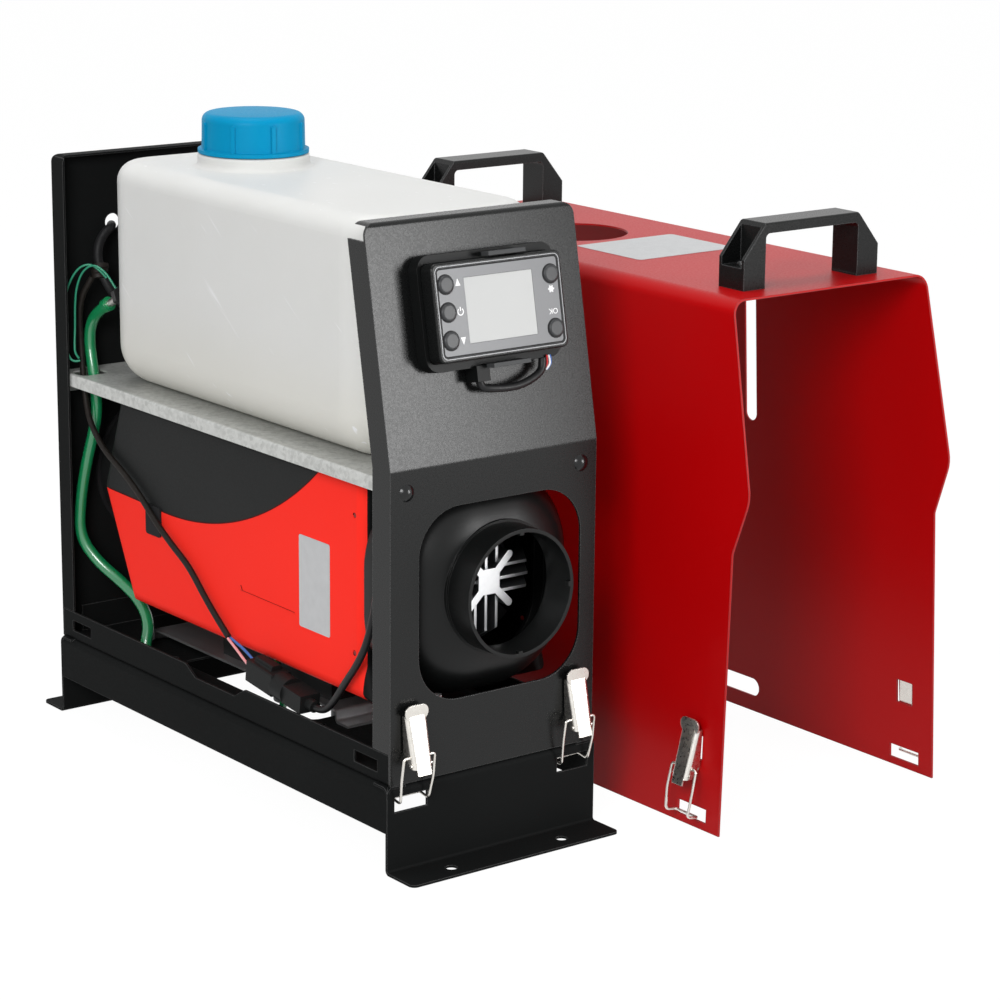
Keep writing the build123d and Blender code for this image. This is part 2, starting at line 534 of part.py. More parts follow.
LEAD_ROUTE = [(-65.1, -97.1, 75.2), (-65.2, -106.0, 74.6), (-65.6, -118.0, 85.0), (-66.2, -130.0, 99.5),
              (-66.5, -141.5, 112.0), (-66.6, -152.5, 129.0), (-66.5, -160.0, 152.0), (-66.5, -164.5, 178.0),
              (-66.2, -167.5, 203.0), (-64.8, -168.0, 226.0), (-60.0, -165.5, 245.0), (-50.0, -161.5, 261.0),
              (-36.0, -159.0, 273.5), (-22.0, -157.5, 283.5), (-10.5, -159.5, 289.5), (-5.8, -166.0, 291.8),
              (-5.0, -174.1, 293.4)]


def wire_harness():
    """Sleeved loom over the side of the heater unit and the two wires into its plug."""
    sleeve = tube("loom", LOOM_ROUTE, 1.9)
    wires = []
    for side, shift in ((-1, 0.0), (1, 1.5)):
        route = [(LOOM_X + 0.9 * side, -3.7, 94.2), (LOOM_X + 1.4 * side, -13.0, 90.4 + shift),
                 (-64.7 + 2.2 * side, -23.5, 86.6 + shift), (-65.1 + 3 * side, -33.8, 83.1)]
        wires.append(tube("plug wire", route, 0.85))
    return [sleeve] + wires


def harness_connector():
    """Two-way sealed plug and socket with its latch, lying along the chassis lip."""
    plug = block(-6.9, 6.9, 0, 27, -7, 7) + block(-3.5, 3.5, 4, 22, 7, 10)
    plug = fillet(plug.edges().filter_by(Axis.Y), 1.2)
    socket = rod((0, 27, 0), (0, 1, 0), 8.4, 12) + block(-6.9, 6.9, 39, 58, -5.5, 5.5)
    socket += rod((0, 58, 0), (0, 1, 0), 3.6, 5.5)
    place = Pos(-65.1, -34, 83.1) * Rot(7, 0, 0) * Rot(0, 0, 180)
    return [place * plug, place * socket]


def supply_lead():
    """Black lead from the plug up behind the front panel to the control unit."""
    return tube("lead", LEAD_ROUTE, 2.2)


def cable_conduit():
    """Black conduit that comes in by the rear panel's cable hole."""
    return tube("conduit", CONDUIT_ROUTE, 3.0)


# ---- control unit -------------------------------------------------------------------------------
def on_panel(shape):
    """Place a shape drawn on the leaning part of the front panel: x across, y up it, z out."""
    return PANEL_PLANE * shape


BUTTONS = {"up": (-36.4, 15.6), "power": (-36.4, 0.3), "down": (-36.4, -15.3),
           "settings": (36.5, 14.4), "ok": (36.5, -16.2)}


def slab(width, height, corner, z0, z1):
    """A rounded plate on the control unit's centre, between two heights off the panel."""
    return Pos(CONTROL_X, CONTROL_S, z0) * extrude(RectangleRounded(width, height, corner), z1 - z0)


def controller_bracket():
    """Cradle screwed to the panel, with a spring tab above and below the unit."""
    width, height = CONTROL
    cradle = slab(width + 5, height + 10, 9, 0, 8) - slab(width + 0.4, height + 0.4, 4, 2.6, 9)
    for side, across, out in ((1, 8, 2.2), (-1, 4, 4.6)):
        y = CONTROL_S + side * (height / 2 + out)
        cradle += Pos(CONTROL_X + across, y, 11.5) * Box(26, 2.4, 13)
    cradle += block(-15, -6.2, 43, CONTROL_S - height / 2 - 4, 0.4, 11)
    cradle -= rod((-10.6, 42, 6), (0, 1, 0), 2.35, 5)
    cradle -= Pos(CONTROL_X - 6, 60, 0) * Cylinder(5, 10)
    return on_panel(cradle)


def controller_case():
    """Box of the control unit, open at the front for face, screen and buttons."""
    width, height = CONTROL
    case = slab(width, height, 4, 2.6, 18)
    case = fillet(case.edges().group_by(Axis.Z)[-1], 1.2)
    case -= slab(width - 5, height - 5, 3, 16.9, 19)
    case -= slab(44, 34, 1, 12, 17)
    for x, y in BUTTONS.values():
        case -= Pos(CONTROL_X + x, CONTROL_S + y, 15) * Cylinder(BUTTON_R + 0.4, 4)
    return on_panel(case)


def controller_face():
    """Face plate with the screen window and five button holes."""
    width, height = CONTROL
    face = slab(width - 5.4, height - 5.4, 2.8, 16.9, 17.9) - slab(47.5, 36.5, 0.6, 16, 19)
    for x, y in BUTTONS.values():
        face -= Pos(CONTROL_X + x, CONTROL_S + y, 17) * Cylinder(BUTTON_R + 0.3, 4)
    return on_panel(face)


def controller_screen():
    """Clear screen window."""
    return on_panel(slab(47.3, 36.3, 0.5, 16.9, 17.7))


def control_button(x, y):
    """Domed push button; it rests this high and sinks by its travel."""
    cap = Cylinder(BUTTON_R, 5.2)
    cap = fillet(cap.edges().group_by(Axis.Z)[-1], 1.6)
    return on_panel(Pos(CONTROL_X + x, CONTROL_S + y, 14.4 + 2.6) * cap)


def control_cable():
    """Short cable that loops under the control unit."""
    local = [(-10.6, 46.6, 6.0), (-10.6, 39.6, 6.0), (-5.0, 38.4, 8.0), (5.0, 37.4, 8.6), (15.0, 37.6, 8.8),
             (24.5, 40.2, 8.8), (33.4, 44.6, 8.0), (33.4, 50.9, 8.0)]
    points = [PANEL_PLANE.from_local_coords(Vector(*p)) for p in local]
    return tube("control cable", [tuple(p) for p in points], 2.3)


# ---- toggle latches ------------------------------------------------------------------------------
# Drawn on the wall that carries them: x along the wall, y up from the window's middle, z out.
LEVER_PIN = (24.5, 9.0)      # height and stand-off of the lever's pin
HOOK_PIN = (29.0, 7.5)       # where the wire hook hangs in the lever
HOOK_LEG = 28.4
HOOK_HALF = 9.7              # half the width of the wire hook at its cross bar
HOOK_BOW = 0.9               # the legs stand out this much further at the lever
HOOK_DEPTH = 8.5             # how far its foot turns inwards, into the window
WIRE_R = 0.8
LEVER_FOOT = (22.6, 12.2)    # outer face of the lever, height and stand-off
LEVER_HEAD = (52.0, 5.0)
LEVER_HALF = (6.5, 7.25)     # half widths at foot and head


def latch_plate():
    """Riveted plate with two ears and the lever's pin."""
    plate = extrude(Pos(0, 38.2) * RectangleRounded(10.6, 27.5, 4.5), 1)
    for x in (-4.8, 3.8):
        ear = make_face(Polyline((24.6, 0.5), (35, 0.5), (25.5, 9.85), (24.9, 10.25), (24.1, 10.25),
                                 (23.4, 9.7), (23.3, 8.6), close=True))
        plate += along_x(ear, x, x + 1)
    return plate + rod((-7.4, *LEVER_PIN), (1, 0, 0), 1.0, 14.8)


def lever_channel(inset):
    """Wedge between the lever's outer face and its cheeks' edges, tapering towards its foot."""
    (foot, foot_out), (head, head_out) = LEVER_FOOT, LEVER_HEAD
    side = make_face(Polyline((foot, foot_out - inset), (head, head_out - inset),
                              (head, 1.0 - 5 * inset), (31, 1.2 - 5 * inset), (foot, 7.0 - 5 * inset),
                              close=True))
    low, high = (half - inset for half in LEVER_HALF)
    front = make_face(Polyline((-low, foot), (-high, head), (high, head), (low, foot), close=True))
    wedge = along_x(side, -10, 10) & Pos(0, 0, -10) * extrude(front, 30)
    outer = [face for face in wedge.faces() if face.normal_at().Z > 0.9][0]
    return fillet([edge for edge in outer.edges() if edge.length > 20], 2.6 - inset)


def latch_lever():
    """Pressed lever: a tapering channel with a thumb tongue above and a small tab below."""
    (foot, foot_out), (head, head_out) = LEVER_FOOT, LEVER_HEAD
    lean = atan2(foot_out - head_out, head - foot)
    lever = lever_channel(0) - lever_channel(1.0)
    face = Plane((0, foot, foot_out), x_dir=(1, 0, 0), z_dir=(0, sin(lean), cos(lean)))
    tab = Pos(0, -1.5) * RectangleRounded(9.4, 4.4, 0.8)
    lever += extrude(face * tab, -1)
    tongue = Pos(0, head + 1.9, head_out - 1) * extrude(RectangleRounded(16, 8.8, 4.2), 1)
    lever += tongue
    lever -= rod((-8, *LEVER_PIN), (1, 0, 0), 1.05, 16)
    return lever - rod((-8, *HOOK_PIN), (1, 0, 0), WIRE_R + 0.05, 16)


def latch_hook(lean):
    """Wire hook: two bowed legs from the lever, joined by a foot that turns into the window."""
    top = HOOK_HALF + HOOK_BOW
    half = [(5.2, 0, 0), (top, 0, 0), (top + 0.4, -HOOK_LEG / 2, 0.5), (HOOK_HALF, -HOOK_LEG, 0),
            (HOOK_HALF, -HOOK_LEG, -HOOK_DEPTH)]
    points = half + [(-x, y, z) for x, y, z in reversed(half)]
    bends = [1.6, 40, 2.6, 1.6]
    path = FilletPolyline(*points, radius=bends + bends[::-1])
    wire = sweep(Plane(points[0], z_dir=(1, 0, 0)) * Circle(WIRE_R), path=path)
    return Pos(0, *HOOK_PIN) * Rot(lean, 0, 0) * wire


def wall_plane(origin, outward):
    """Plane on an upright or leaning wall: x along it, y up it, z out of it."""
    out = Vector(*outward)
    along = Vector(0, 0, 1).cross(out)
    return Plane(origin, x_dir=along, z_dir=out)


FRAME_LATCH_X = 57.9
FRAME_LATCHES = {"left": wall_plane((-FRAME_LATCH_X, FRONT, 41.0), (0, -1, 0)),
                 "right": wall_plane((FRAME_LATCH_X, FRONT, 41.0), (0, -1, 0))}


def cover_wall(side, y):
    """Where a latch sits on the cover: outer face of a leaning wall at the window's height."""
    splay = COVER_SPLAY[0] if side == "left" else COVER_SPLAY[1]
    sign = -1 if side == "left" else 1
    lean = atan2(splay, COVER_H)
    foot = COVER_X + sign * (COVER_W / 2 + splay)
    height = 9.0
    return wall_plane((foot - sign * height * tan(lean), y, height), (sign * cos(lean), 0, sin(lean)))


LATCH_Y = (COVER_Y + 24.2, COVER_Y + BODY_L - 24.2)
COVER_LATCHES = {f"{side}_{end}": cover_wall(side, y)
                 for side in ("left", "right") for end, y in zip(("front", "rear"), LATCH_Y)}


# ---- cover ------------------------------------------------------------------------------------------
def cover_shell():
    """Red cover: one sheet bent over the heater, sprung open a little at the bottom."""
    half = COVER_W / 2
    left, right = COVER_SPLAY
    section = bent_sheet([(COVER_X + half + right, 0), (COVER_X + half, COVER_H), (COVER_X - half, COVER_H),
                          (COVER_X - half - left, 0)], COVER_SHEET, 9.0)
    shell = along_y(section, COVER_Y - 13, COVER_Y + BODY_L)
    edge = FilletPolyline((0, -5), (0, 171), (-12.5, 205), (12.05, 330), radius=[8, 22])
    beyond = Polyline((12.05, 330), (-30, 330), (-30, -5), (0, -5))
    shell -= Pos(0, COVER_Y, 0) * along_x(make_face([edge, beyond]), 80, 320)
    shell -= rod((COVER_X - 2.8, NECK_Y - 64.0, COVER_H - 5), (0, 0, 1), COVER_HOLE_R, 10)
    middle = COVER_Y + BODY_L / 2
    low_slot = along_x(Pos(middle, 16.5) * SlotOverall(48, 12), 80, 320)
    sight = along_x(Pos(COVER_Y + 164.6, 249) * SlotOverall(102, 10.4, rotation=90), 80, 320)
    shell = shell - low_slot - sight
    for plane in COVER_LATCHES.values():
        shell -= plane * Box(24.8, 8.5, 8)
        shell -= plane * Pos(0, 40.8, 0) * Box(13.5, 14.5, 8)
    return shell


def bridge_handle(y):
    """Moulded bridge handle with hollow ends that hide the screws."""
    half, leg, height, depth = 53.0, 16.5, 38.0, 21.5
    outline = make_face(Polyline((-half, 0), (-half, 18), (-half + leg, height), (half - leg, height),
                                 (half, 18), (half, 0), close=True))
    grip = Pos(0, 15.5) * Rectangle(2 * (half - leg), 33)
    opening = fillet(grip.vertices(), 3)
    body = along_y(outline - opening - Pos(0, -2) * Rectangle(2 * (half - leg), 6), -depth / 2, depth / 2)
    for sign in (-1, 1):
        pocket = make_face(Polyline((-half - 1, 13), (-half - 1, 18), (-half + leg - 2, height + 1.5),
                                    (-half + leg - 2, 13), close=True))
        cell = along_y(pocket, -depth / 2 + 2.2, depth / 2 - 2.2)
        body -= cell if sign < 0 else mirror(cell, about=Plane.YZ)
    body = fillet(body.edges().filter_by(Axis.X).group_by(Axis.Z)[-1], 1.5)
    return Pos(COVER_X, y, COVER_H) * body


HANDLE_Y = (COVER_Y + 38.0, COVER_Y + BODY_L - 28.2)


# ---- write every piece ---------------------------------------------------------------------------
def save(name, shape):
    """Write one piece, or a group of like pieces, to its own file."""
    if isinstance(shape, list):
        solids = [solid for item in shape for solid in item.solids()]
        shape = Compound(children=solids)
    export_step(shape, f"parts/{name}.step")


def main():
    os.makedirs("parts", exist_ok=True)
    lower_shell, upper_shell = heater_shells()
    pieces = {
        "base_tray": base_tray(), "chassis_pan": chassis_pan(), "front_panel": front_panel(),
        "rear_panel": rear_panel(), "tank_shelf": tank_shelf(), "panel_screws": panel_screws(),
        "fuel_tank": fuel_tank(), "tank_spigot": tank_spigot(), "tank_cap": tank_cap(),
        "cap_seal": cap_seal(), "heater_lower_shell": lower_shell, "heater_upper_shell": upper_shell,
        "outlet_cowl": outlet_cowl(), "heat_exchanger": heat_exchanger(), "burner_tube": burner_tube(),
        "glow_plug": glow_plug(), "combustion_housing": combustion_housing(), "fan_motor": fan_motor(),
        "motor_shaft": motor_shaft(), "hot_air_fan": hot_air_fan(), "combustion_fan": combustion_fan(),
        "inlet_guard": inlet_guard(), "control_board": control_board(), "mounting_plate": mounting_plate(),
        "fuel_lines": fuel_lines(), "fuel_filter": fuel_filter(), "fuel_pump": fuel_pump(),
        "rubber_clips": rubber_clips(), "hose_clamps": hose_clamps(), "wire_harness": wire_harness(),
        "harness_connector": harness_connector(), "supply_lead": supply_lead(),
        "cable_conduit": cable_conduit(),
        "controller_bracket": controller_bracket(), "controller_case": controller_case(),
        "controller_face": controller_face(), "controller_screen": controller_screen(),
        "control_cable": control_cable(), "cover_shell": cover_shell(),
        "front_handle": bridge_handle(HANDLE_Y[0]), "rear_handle": bridge_handle(HANDLE_Y[1]),
        "frame_latch_plates": [plane * latch_plate() for plane in FRAME_LATCHES.values()],
        "cover_latch_plates": [plane * latch_plate() for plane in COVER_LATCHES.values()],
    }
    for name, (x, y) in BUTTONS.items():
        pieces[f"button_{name}"] = control_button(x, y)
    for group, latches, lean in (("frame", FRAME_LATCHES, 9.5), ("cover", COVER_LATCHES, -9.5)):
        for place, plane in latches.items():
            pieces[f"{group}_lever_{place}"] = plane * latch_lever()
            pieces[f"{group}_hook_{place}"] = plane * latch_hook(lean)
    for name, shape in pieces.items():
        save(name, shape)
    print(len(pieces), "pieces")


main()
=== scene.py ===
import bpy
import bmesh
from math import atan2, cos, pi, radians, sin
from mathutils import Matrix, Vector


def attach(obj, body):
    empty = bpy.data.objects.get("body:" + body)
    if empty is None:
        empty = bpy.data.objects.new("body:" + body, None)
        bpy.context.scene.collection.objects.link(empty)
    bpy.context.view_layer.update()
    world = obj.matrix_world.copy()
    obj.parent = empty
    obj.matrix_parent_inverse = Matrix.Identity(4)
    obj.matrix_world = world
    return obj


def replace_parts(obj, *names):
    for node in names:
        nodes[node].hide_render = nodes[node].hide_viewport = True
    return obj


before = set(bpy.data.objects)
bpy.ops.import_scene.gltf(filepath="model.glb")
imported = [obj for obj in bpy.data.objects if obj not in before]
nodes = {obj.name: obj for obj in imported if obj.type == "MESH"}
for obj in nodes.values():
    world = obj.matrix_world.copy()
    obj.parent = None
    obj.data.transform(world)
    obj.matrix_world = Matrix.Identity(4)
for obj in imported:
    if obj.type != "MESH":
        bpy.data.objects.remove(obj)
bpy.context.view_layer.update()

scene = bpy.context.scene
scene.view_settings.view_transform = "Standard"


# ---- Camera -----------------------------------------------------------------------------------
# The photographer stood in front and to the left, a little above the tank.  The lens is long, so
# that the upright edges of the frame stay almost parallel.
CAMERA_PLACE = (-1.0350, -1.5303, 0.6429)
CAMERA_AZIMUTH, CAMERA_ELEVATION, CAMERA_ROLL = -37.6157, 14.3519, 0.5472
SENSOR_WIDTH = 36
LENS_PER_SENSOR_WIDTH = 3.11493


def camera_turn(azimuth, elevation, roll):
    """Turn of a camera that looks along +Y at azimuth 0 and swings to the left of the object."""
    back = Vector((sin(azimuth) * cos(elevation), -cos(azimuth) * cos(elevation), sin(elevation)))
    right = Vector((cos(azimuth), sin(azimuth), 0))
    up = back.cross(right)
    tilted_right = cos(roll) * right + sin(roll) * up
    tilted_up = -sin(roll) * right + cos(roll) * up
    return Matrix((tilted_right, tilted_up, back)).transposed().to_4x4()


camera = bpy.data.objects.new("photo_camera", bpy.data.cameras.new("photo_camera"))
camera.data.sensor_width = SENSOR_WIDTH
camera.data.lens = SENSOR_WIDTH * LENS_PER_SENSOR_WIDTH
camera.data.clip_end = 20
camera.matrix_world = Matrix.Translation(CAMERA_PLACE) @ camera_turn(
    radians(CAMERA_AZIMUTH), radians(CAMERA_ELEVATION), radians(CAMERA_ROLL))
scene.collection.objects.link(camera)
scene.camera = camera


# ---- Studio: floor, backdrop and lamps ----------------------------------------------------------
# A white sweep with three soft boxes: one overhead, one beside the camera, and a small one in front
# on the right, which the leaning part of the front panel mirrors.
ROOM_LIGHT = 0.41
SWEEP_HALF_WIDTH, SWEEP_DROP = 6, 0.0005
SWEEP_GLOW, GLOW_SHARE = 1.08, 0.9


def linear(code):
    """An sRGB hex code as a linear colour with alpha 1."""
    parts = [int(code[i:i + 2], 16) / 255 for i in (0, 2, 4)]
    return [p / 12.92 if p <= 0.04045 else ((p + 0.055) / 1.055) ** 2.4 for p in parts] + [1.0]


def add(tree, kind, sockets=None, **settings):
    """Adds a node; sockets maps an input to a plain value or to another node's output."""
    node = tree.nodes.new(kind)
    for name, value in settings.items():
        setattr(node, name, value)
    for name, value in (sockets or {}).items():
        if isinstance(value, bpy.types.NodeSocket):
            tree.links.new(value, node.inputs[name])
        else:
            node.inputs[name].default_value = value
    return node


def new_finish(name, **values):
    """A material with a Principled shader; values are its plain sockets, spaces as underscores."""
    material = bpy.data.materials.new(name)
    material.use_nodes = True
    shader = material.node_tree.nodes["Principled BSDF"]
    for key, value in values.items():
        shader.inputs[key.replace("_", " ")].default_value = value
    return material, material.node_tree, shader


def seen_directly(tree):
    """1 for rays from the camera, a mirror or through glass, else 0."""
    path = add(tree, "ShaderNodeLightPath")
    either = add(tree, "ShaderNodeMath", {0: path.outputs["Is Camera Ray"],
                                          1: path.outputs["Is Glossy Ray"]}, operation="MAXIMUM")
    return add(tree, "ShaderNodeMath", {0: either.outputs[0], 1: path.outputs["Is Transmission Ray"]},
               operation="MAXIMUM").outputs[0]


world = bpy.data.worlds.new("studio")
scene.world = world
world.use_nodes = True
tree = world.node_tree
tree.nodes.clear()
room = add(tree, "ShaderNodeBackground", {"Color": linear("f6f7f8"), "Strength": ROOM_LIGHT})
white = add(tree, "ShaderNodeBackground", {"Color": (1, 1, 1, 1), "Strength": 1.0})
blend = add(tree, "ShaderNodeMixShader", {0: seen_directly(tree), 1: room.outputs[0], 2: white.outputs[0]})
add(tree, "ShaderNodeOutputWorld", {"Surface": blend.outputs[0]})

floor_mesh = bpy.data.meshes.new("studio_floor")
bm = bmesh.new()
bmesh.ops.create_grid(bm, x_segments=1, y_segments=1, size=SWEEP_HALF_WIDTH)
bm.to_mesh(floor_mesh)
bm.free()
floor = bpy.data.objects.new("studio_floor", floor_mesh)
scene.collection.objects.link(floor)
floor.location.z = -SWEEP_DROP
material = bpy.data.materials.new("white_sweep")
material.use_nodes = True
tree = material.node_tree
tree.nodes.clear()
paper = add(tree, "ShaderNodeBsdfDiffuse", {"Color": linear("cccccc")})
glow = add(tree, "ShaderNodeEmission", {"Color": (1, 1, 1, 1), "Strength": SWEEP_GLOW})
share = add(tree, "ShaderNodeMath", {0: seen_directly(tree), 1: GLOW_SHARE}, operation="MULTIPLY")
sheet = add(tree, "ShaderNodeMixShader", {0: share.outputs[0], 1: paper.outputs[0], 2: glow.outputs[0]})
add(tree, "ShaderNodeOutputMaterial", {"Surface": sheet.outputs[0]})
floor_mesh.materials.append(material)


def soft_box(name, place, target, width, height, watts):
    """An area lamp at a place, turned towards a point."""
    lamp = bpy.data.lights.new(name, "AREA")
    lamp.shape = "RECTANGLE"
    lamp.size, lamp.size_y = width, height
    lamp.energy = watts
    holder = bpy.data.objects.new(name, lamp)
    scene.collection.objects.link(holder)
    turn = (Vector(place) - Vector(target)).to_track_quat("Z", "Y")
    holder.matrix_world = Matrix.Translation(place) @ turn.to_matrix().to_4x4()


soft_box("overhead_box", (0.0, 0.1, 1.7), (0.1, 0.0, 0.2), 0.9, 0.9, 11)
soft_box("camera_box", (-1.35, -1.1, 1.0), (0.0, 0.0, 0.2), 0.7, 0.7, 22)
soft_box("front_box", (0.50, -1.08, 0.41), (-0.03, -0.19, 0.30), 0.26, 0.44, 6.0)


# ---- Base and chassis ---------------------------------------------------------------------------
# Bent steel sheet with punched windows, powder coated black after bending.  The coat gives a satin
# sheen with a fine orange peel, and its edges are painted paler as a highlight.
def on_object(tree, scale=(1, 1, 1), turn=(0, 0, 0)):
    """Object coordinates, turned and stretched."""
    place = add(tree, "ShaderNodeTexCoord")
    return add(tree, "ShaderNodeMapping", {"Vector": place.outputs["Object"], "Scale": scale,
                                           "Rotation": turn}).outputs[0]


def noise(tree, place, per_metre, detail=2.0, roughness=0.5):
    """Noise with so many grains per metre."""
    return add(tree, "ShaderNodeTexNoise", {"Vector": place, "Scale": per_metre, "Detail": detail,
                                            "Roughness": roughness}).outputs["Fac"]


def ramp(tree, value, low, high, to_low=0.0, to_high=1.0):
    """Maps low..high to to_low..to_high, smoothly and clamped."""
    return add(tree, "ShaderNodeMapRange", {"Value": value, "From Min": low, "From Max": high,
                                            "To Min": to_low, "To Max": to_high},
               interpolation_type="SMOOTHSTEP").outputs[0]


def laid_over(tree, share, under, over):
    """One colour laid over another by a share from 0 to 1."""
    return add(tree, "ShaderNodeMix", {"Factor": share, "A": under, "B": over},
               data_type="RGBA").outputs["Result"]


def tint(tree, amount, dark, light):
    """A colour between two hex codes."""
    return laid_over(tree, amount, linear(dark), linear(light))


def relief(tree, height, depth, strength, under=None):
    """Bump from a height between 0 and 1 and a depth in metres."""
    sockets = {"Height": height, "Distance": depth, "Strength": strength}
    if under is not None:
        sockets["Normal"] = under
    return add(tree, "ShaderNodeBump", sockets).outputs[0]


def rounded(tree, radius):
    """Shading that softens sharp edges by a radius in metres."""
    return add(tree, "ShaderNodeBevel", {"Radius": radius}, samples=4).outputs[0]


def wire(tree, value, shader, socket):
    """Links an output to one of the shader's inputs."""
    tree.links.new(value, shader.inputs[socket])


def painted_edge_highlight(tree, colour, edge, radius=0.0009):
    """A colour painted paler where the surface folds within a radius: a painted edge highlight."""
    facing = add(tree, "ShaderNodeNewGeometry").outputs["Normal"]
    folded = add(tree, "ShaderNodeVectorMath", {0: rounded(tree, radius), 1: facing},
                 operation="DOT_PRODUCT").outputs["Value"]
    return laid_over(tree, ramp(tree, folded, 0.97, 0.80, 0, 0.7), colour, linear(edge))


def coated_steel(name, deep, pale, gloss_low, gloss_high, shine, peel=0.00006):
    """Powder coat on sheet: fine peel, slow change of tone, softened edges and a painted edge highlight."""
    material, tree, shader = new_finish(name, Specular_IOR_Level=shine)
    place = on_object(tree)
    coat = tint(tree, noise(tree, place, 9, 3), deep, pale)
    # Painted highlight: the coat's edges are lightened towards grey 5c5c5c.
    wire(tree, painted_edge_highlight(tree, coat, "5c5c5c"), shader, "Base Color")
    grain = noise(tree, place, 700, 3)
    wire(tree, ramp(tree, grain, 0.3, 0.7, gloss_low, gloss_high), shader, "Roughness")
    wire(tree, relief(tree, grain, peel, 0.5, rounded(tree, 0.0006)), shader, "Normal")
    return material


def dress(material, *names):
    """Gives CAD nodes a material."""
    for name in names:
        mesh = nodes[name].data
        mesh.materials.clear()
        mesh.materials.append(material)


black_coat = coated_steel("black_powder_coat", "141515", "1a1b1b", 0.5, 0.6, 0.02)
dress(black_coat, "base_tray", "chassis_pan", "rear_panel")


# ---- Front panel --------------------------------------------------------------------------------
# Bent from the same sheet as the chassis, in the same coat but laid on smoother: its leaning upper
# half mirrors the lamp as a broad grey sheen.
panel_coat = coated_steel("front_panel_coat", "0c0d0d", "111212", 0.25, 0.3, 0.28, 0.00003)
dress(panel_coat, "front_panel")


# ---- Tank shelf and mounting plate --------------------------------------------------------------
# The shelf is hot-dip galvanised sheet: flat warm grey crystals of zinc, a few of which catch the
# light.  The plate under the heater is bright sheet, rolled with its zinc on.
material, tree, shader = new_finish("galvanised_sheet", Metallic=0.5, Specular_IOR_Level=0.4)
place = on_object(tree)
crystals = add(tree, "ShaderNodeTexVoronoi", {"Vector": place, "Scale": 420.0}).outputs["Color"]
crystal_tone = add(tree, "ShaderNodeSeparateColor", {"Color": crystals}).outputs[0]
blotch = noise(tree, place, 110, 5, 0.7)
mixed = add(tree, "ShaderNodeMath", {0: crystal_tone, 1: 0.3, 2: blotch},
            operation="MULTIPLY_ADD").outputs[0]
wire(tree, tint(tree, ramp(tree, mixed, 0.35, 0.85), "adaeab", "c4c5c2"), shader, "Base Color")
wire(tree, ramp(tree, mixed, 0.2, 0.9, 0.5, 0.38), shader, "Roughness")
wire(tree, relief(tree, mixed, 0.00005, 0.3, rounded(tree, 0.0004)), shader, "Normal")
dress(material, "tank_shelf")

material, tree, shader = new_finish("rolled_zinc", Metallic=0.8)
place = on_object(tree)
rolled = noise(tree, place, 90, 3)
wire(tree, tint(tree, rolled, "a5a5a6", "b4b4b5"), shader, "Base Color")
wire(tree, ramp(tree, rolled, 0.3, 0.7, 0.3, 0.36), shader, "Roughness")
dress(material, "mounting_plate")


# ---- Panel screws -------------------------------------------------------------------------------
# Dome-headed steel screws with a coat of black zinc, glossier than the powder coat round them.
# They hold the two panels to the tank shelf.
def mottled(name, grain, dark, light, gloss=None, soften=None, **values):
    """A finish whose tone wanders between two hex codes.

    grain is the grains per metre and their detail, gloss the grains per metre with the lowest and
    highest roughness, soften the radius in metres that takes the edge off sharp corners, and values
    are the shader's plain sockets.
    """
    material, tree, shader = new_finish(name, **values)
    place = on_object(tree)
    wire(tree, tint(tree, noise(tree, place, *grain), dark, light), shader, "Base Color")
    if gloss:
        per_metre, lowest, highest = gloss
        wire(tree, ramp(tree, noise(tree, place, per_metre, 2), 0.3, 0.7, lowest, highest), shader,
             "Roughness")
    if soften:
        wire(tree, rounded(tree, soften), shader, "Normal")
    return material


black_zinc = mottled("black_zinc", (400, 2), "0e0f10", "161718", (900, 0.18, 0.26), Metallic=0.4,
                     Specular_IOR_Level=0.6)
dress(black_zinc, "panel_screws")


# ---- Fuel tank ----------------------------------------------------------------------------------
# Blow-moulded natural polyethylene, 3 mm thick: milky and a little see-through, with a few faint
# slanting drag marks from the mould on its sides.
material, tree, shader = new_finish("natural_polyethylene", Roughness=0.42, Subsurface_Weight=0.35,
                                    Subsurface_Scale=0.008, Specular_IOR_Level=0.2)
shader.inputs["Subsurface Radius"].default_value = (1.0, 0.98, 0.92)
place = on_object(tree)
slanted = on_object(tree, turn=(radians(-35), 0, 0))
drawn_out = add(tree, "ShaderNodeMapping", {"Vector": slanted, "Scale": (1, 0.07, 1)}).outputs[0]
marks = ramp(tree, noise(tree, drawn_out, 260, 2), 0.68, 0.78)
cloud = noise(tree, place, 14, 3)
height = add(tree, "ShaderNodeSeparateXYZ", {"Vector": place}).outputs["Z"]
milky = tint(tree, cloud, "d0d0cd", "d6d6d4")
yellower_below = laid_over(tree, ramp(tree, height, 0.3, 0.235, 0, 0.5), milky, linear("cdcabd"))
wire(tree, laid_over(tree, marks, yellower_below, linear("e2e2e2")), shader, "Base Color")
wire(tree, relief(tree, noise(tree, place, 350, 3), 0.0001, 0.3), shader, "Normal")
dress(material, "fuel_tank")


# ---- Tank outlet, cap and seal ------------------------------------------------------------------
# A plated steel stub in a black nut, a screw cap moulded in satin blue, and a black ring that closes
# on the neck.
steel = mottled("bright_steel", (90, 3), "a9aaab", "c2c3c4", (700, 0.28, 0.38), 0.0003, Metallic=1.0)

NUT_FACE_Y = 0.1440
material, tree, shader = new_finish("outlet_steel_in_black_nut")
place = on_object(tree)
along = add(tree, "ShaderNodeSeparateXYZ", {"Vector": place}).outputs["Y"]
tip = ramp(tree, along, NUT_FACE_Y, NUT_FACE_Y + 0.0004)
wire(tree, tint(tree, tip, "161617", "c9c6c2"), shader, "Base Color")
wire(tree, tip, shader, "Metallic")
wire(tree, ramp(tree, noise(tree, place, 700, 2), 0.3, 0.7, 0.3, 0.42), shader, "Roughness")
dress(material, "tank_spigot")

